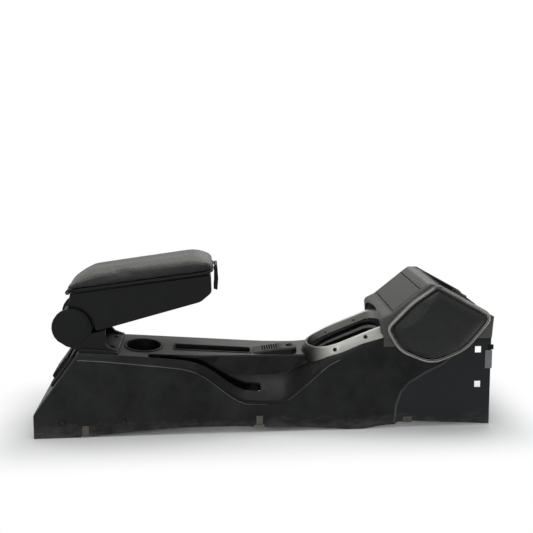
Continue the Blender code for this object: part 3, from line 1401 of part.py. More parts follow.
def build_box_mat():
    """Soft mat on the floor of the box."""
    bm = bmesh.new()
    start = PIVOT_X + CHEEK_RADIUS + BOX_TO_CHEEK + BOX_WALL + 0.009
    end = BOX_BOTTOM_FRONT.x - 0.030
    low = [(x, box_floor_height(x) + CLEARANCE) for x in (start, end)]
    high = [(x, z + MAT_THICKNESS) for x, z in reversed(low)]
    inner = BOX_HALF_WIDTH - BOX_WALL - MAT_MARGIN
    prism_y(bm, low + high, -inner, inner)
    return finish("box_mat", bm, FOAM)


def build_pivot():
    """Shaft, two flanged bushes and two caps that close the cheeks."""
    bm = bmesh.new()
    reach = CHEEK_HALF_WIDTH - 0.0005
    axis_line(bm, Matrix.Translation(pivot()), 0.0, 0.0, SHAFT_RADIUS, reach, 16)
    finish("pivot_shaft", bm, STEEL)
    hub_half = hub_half_width()
    for side, label in ((-1, "right"), (1, "left")):
        turn = Matrix.Rotation(math.radians(-90 * side), 4, "X")
        place = Matrix.Translation(pivot()) @ turn
        bm = bmesh.new()
        inner = SHAFT_RADIUS + CLEARANCE * 0.5
        outer = SHAFT_RADIUS + BUSH_WALL
        flange = SHAFT_RADIUS + 0.008
        collar = hub_half + HUB_SIDE_GAP - 2 * CLEARANCE
        profile = [(inner, hub_half - 0.012), (outer, hub_half - 0.012), (outer, hub_half + CLEARANCE),
                   (flange, hub_half + CLEARANCE), (flange, collar), (inner, collar),
                   (inner, hub_half - 0.012)]
        turned(bm, profile, place, 16)
        finish("pivot_bush_%s" % label, bm, TRIM_GREY, origin=pivot())
        bm = bmesh.new()
        seat = CHEEK_HALF_WIDTH + CLEARANCE
        cap = CHEEK_RADIUS - 0.0035
        profile = [(0.0, seat), (cap, seat), (cap, seat + 0.0008), (cap - 0.0020, seat + 0.0020),
                   (0.0, seat + 0.0034)]
        turned(bm, profile, place, 28)
        finish("pivot_cap_%s" % label, bm, GRAIN_GREY)


PANEL_RAIL = 0.0145
PANEL_WINDOW_HALF = 0.0335
ASHTRAY_GAP = 0.0005
ASHTRAY_AXIS_IN = 0.0050
ASHTRAY_AXIS_W = 0.0050
ASHTRAY_HEEL = 0.0015
ASHTRAY_PIN_RADIUS = 0.0012
ASHTRAY_PIN_SEAT = 0.004
ASHTRAY_PROUD = 0.007
ASHTRAY_WALL = 0.002
BUCKET_FLATTEN = 0.80


def rear_panel_frame():
    return slope_frame(PANEL_START + PANEL_LENGTH / 2)


def build_rear_panel():
    """Frame on the rear slope that holds a small tilting ashtray, with two screws."""
    frame = rear_panel_frame()
    half_u = PANEL_LENGTH / 2
    half_v = PANEL_HALF_WIDTH
    bm = bmesh.new()

    def ring(margin, w):
        return [frame @ Vector((u, v, w)) for u, v in
                rounded([(-half_u + margin, -half_v + margin, 0.006), (half_u - margin, -half_v + margin, 0.006),
                         (half_u - margin, half_v - margin, 0.006), (-half_u + margin, half_v - margin, 0.006)], 4)]

    loft(bm, [ring(0.0, CLEARANCE), ring(0.0, PANEL_THICKNESS - 0.0025), ring(0.0015, PANEL_THICKNESS - 0.0008),
              ring(0.0040, PANEL_THICKNESS)])
    panel = finish("rear_panel", bm, SHELL_BLACK)
    cuts = bmesh.new()
    window = rectangle(-half_u + PANEL_RAIL, half_u - PANEL_RAIL, -PANEL_WINDOW_HALF, PANEL_WINDOW_HALF)
    placed_prism(cuts, window, -0.01, 0.02, frame)
    for u, v in rear_screw_spots():
        placed_prism(cuts, circle((u, v), SCREW_SHANK_RADIUS + CLEARANCE, 12), -0.01, 0.02, frame)
    boolean(panel, cutter("rear_panel_cuts", cuts))
    bore = bmesh.new()
    axis_line(bore, frame, rear_axis_u(), ASHTRAY_AXIS_W, ASHTRAY_PIN_RADIUS + CLEARANCE * 0.2,
              PANEL_WINDOW_HALF + ASHTRAY_PIN_SEAT + CLEARANCE, 12)
    boolean(panel, cutter("rear_panel_bore", bore))
    for k, (u, v) in enumerate(rear_screw_spots()):
        place = frame @ Matrix.Translation((u, v, PANEL_THICKNESS + CLEARANCE))
        screw("rear_panel_screw_%d" % (k + 1), place, SCREW_HEAD_RADIUS * 0.8, 0.0055)


def rear_screw_spots():
    reach = PANEL_HALF_WIDTH - 0.0068
    return ((0.0, -reach), (0.0, reach))


def rear_axis_u():
    return -PANEL_LENGTH / 2 + PANEL_RAIL + ASHTRAY_GAP + ASHTRAY_AXIS_IN


def rear_ashtray_axis():
    return rear_panel_frame() @ Vector((rear_axis_u(), 0.0, ASHTRAY_AXIS_W))


def bucket_arc(radius, start, end, steps):
    """Flattened arc of the bucket round its hinge line, between two angles in degrees."""
    angles = [math.radians(start + (end - start) * k / steps) for k in range(steps + 1)]
    return [(rear_axis_u() + radius * math.cos(angle), ASHTRAY_AXIS_W + radius * math.sin(angle) * BUCKET_FLATTEN)
            for angle in angles]


def build_rear_ashtray():
    """Tilting ashtray in the rear panel: a flap with a quarter-round bucket behind it, on a pin."""
    frame = rear_panel_frame()
    low = -PANEL_LENGTH / 2 + PANEL_RAIL + ASHTRAY_GAP
    high = -low
    half = PANEL_WINDOW_HALF - ASHTRAY_GAP
    axis_u = rear_axis_u()
    radius = high - axis_u
    top = PANEL_THICKNESS + ASHTRAY_PROUD
    bm = bmesh.new()
    heel = low + ASHTRAY_HEEL
    bucket = [(low, ASHTRAY_AXIS_W + 0.001), (heel, ASHTRAY_AXIS_W + 0.0045), (heel, top - 0.003),
              (heel + 0.003, top), (high - 0.004, top), (high - 0.0010, top - 0.003)]
    bucket += bucket_arc(radius - 0.0015, -9, -64, 6)
    bucket.append((low + 0.0010, ASHTRAY_AXIS_W - 0.0125))
    loft(bm, [[frame @ Vector((u, v, w)) for u, w in bucket] for v in (-half, half)])
    tray = finish("rear_ashtray", bm, SHELL_BLACK, origin=rear_ashtray_axis())
    cuts = bmesh.new()
    hollow = [(axis_u + 0.006, PANEL_THICKNESS + 0.0030), (axis_u + 0.006, -0.012)]
    hollow += bucket_arc(radius - 0.0040, -41, -6, 4)
    hollow += [(high + 0.006, 0.0032), (high + 0.006, PANEL_THICKNESS + 0.0030)]
    inner = half - ASHTRAY_WALL
    loft(cuts, [[frame @ Vector((u, v, w)) for u, w in hollow] for v in (-inner, inner)])
    axis_line(cuts, frame, axis_u, ASHTRAY_AXIS_W, ASHTRAY_PIN_RADIUS + CLEARANCE, 0.050, 12)
    boolean(tray, cutter("rear_ashtray_cuts", cuts))
    pin = bmesh.new()
    axis_line(pin, frame, axis_u, ASHTRAY_AXIS_W, ASHTRAY_PIN_RADIUS, PANEL_WINDOW_HALF + ASHTRAY_PIN_SEAT, 12)
    finish("rear_ashtray_pin", pin, STEEL)


build_main_shell()
build_cup_liner()
build_tray_liner()
build_coin_holder()
build_shifter_bezel()
build_gate_frame()
build_bezel_screws()
build_side_screws()
build_clip_nuts()
build_front_clips()
build_tower_housing()
build_ashtray_door()
build_ashtray_pin()
build_ashtray_bin()
build_tower_tray()
build_knee_pads()
build_armrest_bracket()
build_bracket_screws()
build_pivot()
build_armrest_box()
build_box_mat()
build_lid_base()
build_lid_pin()
build_lid_pad()
build_lid_latch()
build_latch_pin()
build_latch_ears()
build_rear_panel()
build_rear_ashtray()
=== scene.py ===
"""The finished looks of a moulded car centre console with a padded tower and a folding armrest."""

import json
import math

import bmesh
import bpy
from mathutils import Matrix, Vector

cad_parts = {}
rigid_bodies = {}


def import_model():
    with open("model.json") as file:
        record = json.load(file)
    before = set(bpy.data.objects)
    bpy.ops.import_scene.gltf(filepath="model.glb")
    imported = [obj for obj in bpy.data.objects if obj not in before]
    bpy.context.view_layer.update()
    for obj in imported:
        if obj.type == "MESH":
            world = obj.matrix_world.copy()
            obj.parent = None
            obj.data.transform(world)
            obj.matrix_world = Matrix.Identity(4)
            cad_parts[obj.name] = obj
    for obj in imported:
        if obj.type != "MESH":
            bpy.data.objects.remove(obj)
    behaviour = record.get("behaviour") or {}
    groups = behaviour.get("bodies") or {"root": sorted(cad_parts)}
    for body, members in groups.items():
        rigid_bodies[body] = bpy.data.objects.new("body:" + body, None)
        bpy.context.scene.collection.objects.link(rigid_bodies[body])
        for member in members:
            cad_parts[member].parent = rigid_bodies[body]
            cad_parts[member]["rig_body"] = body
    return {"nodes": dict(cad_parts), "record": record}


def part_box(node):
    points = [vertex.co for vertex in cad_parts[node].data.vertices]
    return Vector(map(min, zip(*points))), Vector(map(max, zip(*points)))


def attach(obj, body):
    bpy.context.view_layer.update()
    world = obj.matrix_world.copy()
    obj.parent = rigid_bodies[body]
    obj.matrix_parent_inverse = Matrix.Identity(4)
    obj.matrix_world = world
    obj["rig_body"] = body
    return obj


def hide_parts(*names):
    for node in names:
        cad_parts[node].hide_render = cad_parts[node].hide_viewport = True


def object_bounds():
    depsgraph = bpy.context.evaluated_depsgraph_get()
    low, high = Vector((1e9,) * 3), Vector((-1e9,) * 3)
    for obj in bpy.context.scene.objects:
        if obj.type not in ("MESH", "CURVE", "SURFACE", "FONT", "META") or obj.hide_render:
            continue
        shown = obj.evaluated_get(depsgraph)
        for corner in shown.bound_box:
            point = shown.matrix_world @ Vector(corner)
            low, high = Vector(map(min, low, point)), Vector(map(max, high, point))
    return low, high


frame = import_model()
CAD_BOX = [list(corner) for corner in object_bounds()]
NODES = frame["nodes"]
SLOTS = {part["node"]: part["material_slot"] for part in frame["record"]["subparts"]}

bl_info = {
    "name": "Car Centre Console",
    "version": (1, 0, 0),
    "blender": (4, 5, 0),
    "location": "3D View > Sidebar > Console",
    "description": "Builds the finishes, pads and studio of a car centre console",
    "category": "Object",
}

MM = 0.001

# Lines along the console, as (x, z) points: the lid's sewn seam, the top plate, and the web before a bracket cheek
SEAM_PATH = ((-0.4120, 0.3185), (-0.3990, 0.3270), (-0.3560, 0.3390), (-0.2670, 0.3530), (-0.1570, 0.3650),
             (-0.1300, 0.3655), (-0.1220, 0.3590), (-0.1180, 0.3470), (-0.1160, 0.3300))
PLATE_PATH = ((-0.401, 0.177), (-0.031, 0.150), (0.005, 0.1478), (0.065, 0.1465), (0.090, 0.1475),
              (0.121, 0.1540), (0.146, 0.1630), (0.253, 0.2030), (0.490, 0.2220))
WEB_OUTLINE = ((-0.3950, 0.1950), (-0.3735, 0.2160), (-0.3620, 0.2180), (-0.3440, 0.2232), (-0.3450, 0.1920),
               (-0.3390, 0.1850), (-0.3250, 0.1790), (-0.3300, 0.1772), (-0.3950, 0.1815))
WEB_FACES = (0.0522, 0.0597)

# Edges that are eased: the room that a bevel needs, and the length from which an edge shows wear and a painted
# highlight
BEVEL_ROOM = 2.3
WEAR_AND_HIGHLIGHT_LENGTH = 5 * MM
TOWER_BEVEL = 1.6
REAR_BEVEL = 0.4 * MM

# The shell: its drafted sides, and the sunk plates in front of the step
FLOOR_HALF_WIDTH = 0.100
SIDE_SLOPE = math.tan(math.radians(7.35))
STEP_START = 0.200
STEP_TOP = 0.155
STEP_EDGE = 2.5 * MM
STEP_FLUSH = 0.4 * MM
# Painted highlight on the slope of the step, in the shell's worn colour
STEP_HIGHLIGHT = 0.4
SUNK_DEPTHS = (0.8 * MM, 2.0 * MM)

# The shell: what counts as facing up, down to the recess floor, or sideways
PLATE_FACING = 0.85
PLATE_TOLERANCE = 3 * MM
HOLLOW_FACING = 0.2
SIDE_FACING = 0.8
RECESS_ENDS = (-0.15, 0.10)

# The shell: the brow where each side turns into the top
BROW_LOW = 0.06
BROW_FRONT = 0.19
BROW_ANGLE = 9
BROW_FLUSH = 0.3 * MM
BROW_EDGE = 1.5 * MM
BROW_ROUND = 0.9 * MM
# Wear and a painted highlight along the rounded brow
BROW_WEAR_AND_HIGHLIGHT = 0.8

# The bezel's nose, from its rear end and from its top
NOSE_RUN = (12 * MM, 62 * MM)
NOSE_DROP = (60 * MM, 15 * MM)

# The sleeve inside the tower's arch
ARCH_HALF_WIDTH = 0.0745
ARCH_SPRING = 0.222
ARCH_RISE = 0.027
ARCH_LEG = 0.060
ARCH_STEPS = 12
ARCH_FULLNESS = 0.8
SLEEVE_ENDS = (0.2495, 0.2760)
SLEEVE_THICKNESS = 2.5 * MM
SLEEVE_FIT = 1.03

# The spring nut behind the hand-brake slot, and the latch, measured from its pin
SLOT_NUT = "clip_nut_left_2"
LEAF_END = 2 * MM
LEAF_LONGER = 7.5 * MM
LEAF_HALF_WIDTH = 12.5 * MM
LATCH_PIN_DROP = 6.0 * MM
LATCH_FRONT_FACING = -0.5
BLADE_THICK_FROM = 6 * MM
BLADE_THICKER = 2.5 * MM
BLADE_LONG_FROM = 4 * MM
BLADE_LONGER = 1.2

# The pads: how they are blown up, where they are held, and how far they may spread
CLOTH_FRAMES = 20
PAD_PRESSURE = 4.0
ALL_SMOOTH = 180
KNEE_SHRINK = 0.4 * MM
KNEE_HELD = (0.15, 0.7)
KNEE_SPILL = 0.5 * MM
TRIM_LAP = 2 * MM
LID_SHRINK = 0.6 * MM
LID_HELD_DROP = 14 * MM
LID_HELD_BAND = (4 * MM, 10 * MM)
OVERHANG_RUN = 45 * MM
SEAM_FACING = (0.35, 0.8)
SEAM_REAR_SHARE = 0.8
# Where the painted shade on the lid's side begins, about the seam
SIDE_SHADE_EDGE = (-1.2 * MM, 1.0 * MM)

# Sizes inside the finishes, and how far their streaks are drawn out
MOTTLE_SIZE = 0.055
VINYL_CLOUD_SIZE = 0.06
FLAKE_SIZE = 0.0016
CRYSTAL_SIZE = 0.0025
RUST_SIZE = 0.006
SPLASH_HEIGHT = 0.075
SPLASH_STREAKS = (26.0, 26.0, 60.0)
WIPE_AND_REFLECTION_STREAKS = (40.0, 160.0, 400.0)
FIBRE_STREAKS = (900.0, 900.0, 260.0)
# Painted shade in the vinyl's creases
CREASE_SHADE_COLOUR = "#0c0c0d"

# The studio and the photograph's camera
WHITE = (1.0, 1.0, 1.0, 1.0)
PAPER_COLOUR = "#e8e8e8"
SKY_COLOUR = "#f2f4f6"
FLOOR_SIZE = 8.0
SHADOW_REACH = 0.16
CAMERA_PLACE = (-0.1293, -1.4679, 0.6942)
CAMERA_TURN = -5.04
CAMERA_PITCH = 13.39
CAMERA_ROLL = 0.55
CAMERA_LENS = 46.82


# Small tools


def linear(code):
    """The linear colour, with alpha, of an sRGB hex code."""
    values = [int(code[i:i + 2], 16) / 255 for i in (1, 3, 5)]
    return tuple(v / 12.92 if v <= 0.04045 else ((v + 0.055) / 1.055) ** 2.4 for v in values) + (1.0,)


def fill(tree, node, inputs):
    """Fills or links the node's named sockets."""
    for name, value in dict(inputs).items():
        socket = node.inputs[name]
        if isinstance(value, bpy.types.NodeSocket):
            tree.links.new(value, socket)
        else:
            socket.default_value = value


def add_node(tree, kind, inputs=(), **settings):
    """Adds one shader node with its settings and its filled sockets."""
    node = tree.nodes.new("ShaderNode" + kind)
    for name, value in settings.items():
        setattr(node, name, value)
    fill(tree, node, inputs)
    return node


def blank_material(name):
    """A new node material whose Principled shader is already joined to its output."""
    material = bpy.data.materials.new(name)
    material.use_nodes = True
    tree = material.node_tree
    return material, tree, tree.nodes["Principled BSDF"]


def smooth_step(value, low, high):
    """Eased share of the way from low to high."""
    share = min(1.0, max(0.0, (value - low) / (high - low)))
    return share * share * (3 - 2 * share)


def along(path, x):
    """Height at x on a path of (x, height) points."""
    if x <= path[0][0]:
        return path[0][1]
    for (xa, za), (xb, zb) in zip(path, path[1:]):
        if x <= xb:
            return za + (zb - za) * (x - xa) / (xb - xa)
    return path[-1][1]


# Mesh tools


def merged(node):
    """The node's loose triangles as one bmesh with shared vertices and whole flat faces."""
    bm = bmesh.new()
    bm.from_mesh(NODES[node].data)
    bmesh.ops.remove_doubles(bm, verts=bm.verts, dist=0.01 * MM)
    bmesh.ops.dissolve_limit(bm, angle_limit=math.radians(0.6), verts=bm.verts, edges=bm.edges)
    return bm


def bevelled(bm, edges, width):
    """The faces made by rounding the edges back by the width."""
    return bmesh.ops.bevel(bm, geom=edges, affect="EDGES", offset=width, segments=2, profile=0.5, material=-1,
                           clamp_overlap=True)["faces"]


def soften(bm, width, crease):
    """Rounds the creased edges that have room for it, and marks the long outer ones for wear and a painted
    highlight.
    """
    room = BEVEL_ROOM * width
    wear = bm.loops.layers.float.get("wear") or bm.loops.layers.float.new("wear")
    long_enough = {v: all(e.calc_length() > room for e in v.link_edges) for v in bm.verts}
    chosen = [e for e in bm.edges if len(e.link_faces) == 2 and e.calc_face_angle(0) > math.radians(crease)
              and all(long_enough[v] for v in e.verts)]
    if chosen:
        for face in bevelled(bm, chosen, width):
            longest = max(face.edges, key=lambda edge: edge.calc_length())
            if longest.is_convex and longest.calc_length() > WEAR_AND_HIGHLIGHT_LENGTH:
                for loop in face.loops:
                    loop[wear] = 1.0


def finish_mesh(bm, name, crease=32):
    """Turns the bmesh into a shown object whose sharp edges stay crisp."""
    mesh = bpy.data.meshes.new(name)
    bm.to_mesh(mesh)
    bm.free()
    mesh.shade_smooth()
    mesh.set_sharp_from_angle(angle=math.radians(crease))
    piece = bpy.data.objects.new(name, mesh)
    bpy.context.scene.collection.objects.link(piece)
    return piece


def fit(piece, node, material):
    """Gives the piece its material and its body, and hides the node that it stands for."""
    piece.data.materials.clear()
    piece.data.materials.append(material)
    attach(piece, NODES[node]["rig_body"])
    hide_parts(node)
    return piece


def dress(node, material, width=0.0, crease=32, shape=None):
    """A merged copy of a rigid node, reshaped where asked, with its edges eased and its finish on."""
    bm = merged(node)
    if shape:
        shape(bm)
    if width:
        soften(bm, width, crease)
    piece = finish_mesh(bm, node + "_finish", crease)
    flat = piece.modifiers.new("flat_faces", "WEIGHTED_NORMAL")
    flat.keep_sharp = True
    return fit(piece, node, material)


def keep(node, material):
    """Leaves a small node as it is and gives it its finish."""
    NODES[node].data.materials.clear()
    NODES[node].data.materials.append(material)


def own_piece(bm, name, node, material):
    """A new rigid piece that rides with a node: it takes that node's body, and replaces nothing."""
    bmesh.ops.recalc_face_normals(bm, faces=bm.faces)
    piece = finish_mesh(bm, name)
    piece.data.materials.append(material)
    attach(piece, NODES[node]["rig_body"])
    return piece


def plate_prism(bm, outline, y_low, y_high):
    """Adds a flat plate cut to an (x, z) outline between two places across the console."""
    face = bm.faces.new([bm.verts.new((x, y_low, z)) for x, z in outline])
    risen = bmesh.ops.extrude_face_region(bm, geom=[face], use_keep_orig=True)
    corners = [item for item in risen["geom"] if isinstance(item, bmesh.types.BMVert)]
    bmesh.ops.translate(bm, verts=corners, vec=(0.0, y_high - y_low, 0.0))


def side_depth(place):
    """How far a point lies inside the drafted plane of the shell's side."""
    return FLOOR_HALF_WIDTH - place.z * SIDE_SLOPE - abs(place.y)


def is_sunk(place):
    """True on the floor of the sunk front plates."""
    return place.x > STEP_START and SUNK_DEPTHS[0] < side_depth(place) < SUNK_DEPTHS[1]


def on_plate(face):
    """True on the flat top plate."""
    return face.normal.z > PLATE_FACING and all(abs(vert.co.z - along(PLATE_PATH, vert.co.x)) < PLATE_TOLERANCE
                                                for vert in face.verts)


def on_step(face):
    """True on the soft slope between a sunk front plate and the side behind it."""
    middle = face.calc_center_median()
    return (middle.x > STEP_START and middle.z < STEP_TOP and abs(face.normal.y) > SIDE_FACING
            and {is_sunk(vert.co) for vert in face.verts} == {True, False}
            and all(-MM < side_depth(vert.co) < SUNK_DEPTHS[1] for vert in face.verts))


def shape_shell(bm):
    """Softens the step behind each front plate and the brow, and marks the shell's faces for their finish: dust and
    painted top light on the plate, painted shade on the recess floor, and a painted highlight on the step's slope
    and the brow.
    """
    run = bpy.context.scene.console_sizes.step_run
    moves = {}
    for edge in bm.edges:
        first, second = edge.verts
        if is_sunk(first.co) != is_sunk(second.co) and edge.calc_length() < STEP_EDGE:
            top = second if is_sunk(first.co) else first
            if abs(side_depth(top.co)) < STEP_FLUSH:
                back = sum((face.normal for face in edge.link_faces), Vector())
                back.y = 0.0
                moves[top] = -back.normalized() * run
    for vert, move in moves.items():
        vert.co += move
        vert.co.y = math.copysign(FLOOR_HALF_WIDTH - vert.co.z * SIDE_SLOPE, vert.co.y)
    bm.normal_update()
    layers = {name: bm.loops.layers.float.new(name) for name in ("plate", "front_plate", "sunk", "wear")}
    for face in bm.faces:
        middle = face.calc_center_median()
        flat = on_plate(face)
        # The recess floor takes painted shade, the step's slope a painted highlight
        marks = {"plate": flat and middle.x > PLATE_PATH[0][0], "front_plate": is_sunk(middle),
                 "sunk": face.normal.z > HOLLOW_FACING and not flat and RECESS_ENDS[0] < middle.x < RECESS_ENDS[1],
                 "wear": STEP_HIGHLIGHT * on_step(face)}
        for loop in face.loops:
            for name, mark in marks.items():
                loop[layers[name]] = float(mark)
    round_brow(bm, layers["wear"])


def round_brow(bm, wear):
    """Rounds the brow where each drafted side turns into the top and the recess, and marks it for wear and a painted
    highlight.
    """
    flush = {face: all(abs(side_depth(vert.co)) < BROW_FLUSH for vert in face.verts) for face in bm.faces}
    brow = [edge for edge in bm.edges
            if len(edge.link_faces) == 2 and edge.is_convex and edge.calc_face_angle(0) > math.radians(BROW_ANGLE)
            and len({flush[face] for face in edge.link_faces}) == 2
            and min(vert.co.z for vert in edge.verts) > BROW_LOW and edge.calc_length() > BROW_EDGE
            and max(vert.co.x for vert in edge.verts) < BROW_FRONT]
    if brow:
        for face in bevelled(bm, brow, BROW_ROUND):
            for loop in face.loops:
                loop[wear] = BROW_WEAR_AND_HIGHLIGHT


def shape_bezel(bm):
    """Marks how far the bezel's rounded nose turns away from the light."""
    low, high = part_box("shifter_bezel")
    shade = bm.verts.layers.float.new("shade")
    for vert in bm.verts:
        nose = 1 - smooth_step(vert.co.x, low.x + NOSE_RUN[0], low.x + NOSE_RUN[1])
        vert[shade] = nose * (1 - smooth_step(vert.co.z, high.z - NOSE_DROP[0], high.z - NOSE_DROP[1]))


def shape_slot_nut(bm):
    """Lengthens and widens the leaves of the spring nut behind the hand-brake slot, down over its notch."""
    low = min(vert.co.z for vert in bm.verts)
    middle = sum(vert.co.x for vert in bm.verts) / len(bm.verts)
    for vert in bm.verts:
        if vert.co.z < low + LEAF_END:
            vert.co.z -= LEAF_LONGER
            if abs(vert.co.x - middle) > MM:
                vert.co.x = middle + math.copysign(LEAF_HALF_WIDTH, vert.co.x - middle)


def shape_latch(bm):
    """Draws the latch's blade down to its real length and thickens it towards the box."""
    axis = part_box("lid_latch")[1].z - LATCH_PIN_DROP
    for vert in bm.verts:
        if vert.normal.x < LATCH_FRONT_FACING and vert.co.z < axis - BLADE_THICK_FROM:
            vert.co.x -= BLADE_THICKER
        if vert.co.z < axis - BLADE_LONG_FROM:
            vert.co.z = axis + (vert.co.z - axis) * BLADE_LONGER


def line_arch(material):
    """Lines the tower's arch over the lever opening with a thin sleeve."""
    arch = [(-ARCH_HALF_WIDTH, ARCH_SPRING - ARCH_LEG)]
    for k in range(ARCH_STEPS + 1):
        angle = math.pi - math.pi * k / ARCH_STEPS
        height = ARCH_RISE * max(0.0, math.sin(angle)) ** ARCH_FULLNESS
        arch.append((ARCH_HALF_WIDTH * math.cos(angle), ARCH_SPRING + height))
    arch.append((ARCH_HALF_WIDTH, ARCH_SPRING - ARCH_LEG))
    bm = bmesh.new()
    rows = [[bm.verts.new((x, y, z)) for y, z in arch] for x in SLEEVE_ENDS]
    edges = [bm.edges.new(pair) for row in rows for pair in zip(row, row[1:])]
    bmesh.ops.bridge_loops(bm, edges=edges)
    bmesh.ops.recalc_face_normals(bm, faces=bm.faces)
    bmesh.ops.solidify(bm, geom=bm.faces[:], thickness=SLEEVE_THICKNESS)
    middle = sum((vert.co for vert in bm.verts), Vector()) / len(bm.verts)
    bmesh.ops.scale(bm, verts=bm.verts, vec=(1.0, SLEEVE_FIT, SLEEVE_FIT), space=Matrix.Translation(-middle))
    own_piece(bm, "arch_sleeve", "tower_housing", material)


def stuffed(node, voxel, shrink, cap, held):
    """A cushion blown outwards from the node's shape; held says how far, 0 to 1, a place is kept as it was."""
    bm = merged(node)
    for vert in bm.verts:
        vert.co -= vert.normal * shrink
    mesh = bpy.data.meshes.new(node + "_blank")
    bm.to_mesh(mesh)
    bm.free()
    blank = bpy.data.objects.new(node + "_blank", mesh)
    bpy.context.scene.collection.objects.link(blank)
    remesh = blank.modifiers.new("voxels", "REMESH")
    remesh.mode = "VOXEL"
    remesh.voxel_size = voxel
    mesh = bpy.data.meshes.new_from_object(blank.evaluated_get(bpy.context.evaluated_depsgraph_get()))
    blank.modifiers.clear()
    blank.data = mesh
    rest = [v.co.copy() for v in mesh.vertices]
    outward = [v.normal.copy() for v in mesh.vertices]
    cloth = blank.modifiers.new("filling", "CLOTH")
    cloth.settings.use_pressure = True
    cloth.settings.uniform_pressure_force = PAD_PRESSURE
    cloth.settings.effector_weights.gravity = 0
    cloth.point_cache.frame_start = 1
    cloth.point_cache.frame_end = CLOTH_FRAMES
    for step in range(1, CLOTH_FRAMES + 1):
        bpy.context.scene.frame_set(step)
    blown = bpy.data.meshes.new_from_object(blank.evaluated_get(bpy.context.evaluated_depsgraph_get()))
    blank.modifiers.clear()
    blank.data = blown
    bpy.context.scene.frame_set(1)
    drift = sum((v.co - r for v, r in zip(blank.data.vertices, rest)), Vector()) / len(rest)
    bm = bmesh.new()
    bm.from_mesh(blank.data)
    for vert, start, normal in zip(bm.verts, rest, outward):
        swell = min(cap, max(0.0, (vert.co - start - drift).dot(normal)))
        vert.co = start + normal * swell * (1 - held(start))
    for _ in range(2):
        bmesh.ops.smooth_vert(bm, verts=bm.verts, factor=0.5, use_axis_x=True, use_axis_y=True, use_axis_z=True)
    bm.normal_update()
    bpy.data.objects.remove(blank)
    return bm


def subdivided(bm, name, levels):
    """The bmesh with a Catmull-Clark subdivision applied, as a new bmesh."""
    piece = finish_mesh(bm, name, ALL_SMOOTH)
    finer = piece.modifiers.new("finer", "SUBSURF")
    finer.levels = levels
    finer.render_levels = levels
    mesh = bpy.data.meshes.new_from_object(piece.evaluated_get(bpy.context.evaluated_depsgraph_get()))
    bpy.data.objects.remove(piece)
    bm = bmesh.new()
    bm.from_mesh(mesh)
    bm.normal_update()
    return bm


# Finishes


def noise(tree, place, size, detail, rough=0.5):
    """Cloudy noise with features of the given size."""
    return add_node(tree, "TexNoise", {"Vector": place, "Scale": 1 / size, "Detail": detail,
                                       "Roughness": rough}).outputs["Fac"]


def streaked(tree, place, scale, detail, rough=0.5):
    """Noise drawn out into streaks, with its own scale on each axis."""
    drawn = add_node(tree, "Mapping", {"Vector": place, "Scale": scale}).outputs["Vector"]
    return noise(tree, drawn, 1.0, detail, rough)


def ranged(tree, value, start=0.0, end=1.0, least=0.0, most=1.0, **settings):
    """The value's way from start to end, mapped onto least to most and held there."""
    return add_node(tree, "MapRange", {"Value": value, "From Min": start, "From Max": end, "To Min": least,
                                       "To Max": most}, **settings).outputs["Result"]


def combined(tree, operation, first, second):
    """Two values put together by a maths operation."""
    return add_node(tree, "Math", {0: first, 1: second}, operation=operation).outputs[0]


def mixed(tree, share, first, second, **settings):
    """The colour that lies by a share between two others."""
    return add_node(tree, "Mix", {"Factor": share, "A": first, "B": second}, data_type="RGBA",
                    **settings).outputs["Result"]


def marked(tree, name):
    """The mark, 0 to 1, that the mesh carries under a name."""
    return add_node(tree, "Attribute", attribute_name=name).outputs["Fac"]


def edge_normal(tree, radius):
    """Normal that rounds every edge by a small radius, as a mould's edges are."""
    return add_node(tree, "Bevel", {"Radius": radius}, samples=6).outputs["Normal"]


def rounded_edges(tree, most):
    """The normal with rounded edges, and a share that rises to most along those edges, where the finishes paint a
    paler colour: a painted highlight, with wear on the moulded plastics.
    """
    round_normal = edge_normal(tree, bpy.context.scene.console_sizes.edge_round)
    flat_normal = add_node(tree, "NewGeometry").outputs["Normal"]
    match = add_node(tree, "VectorMath", {0: round_normal, 1: flat_normal}, operation="DOT_PRODUCT")
    return round_normal, ranged(tree, match.outputs["Value"], 0.99, 0.86, most=most)


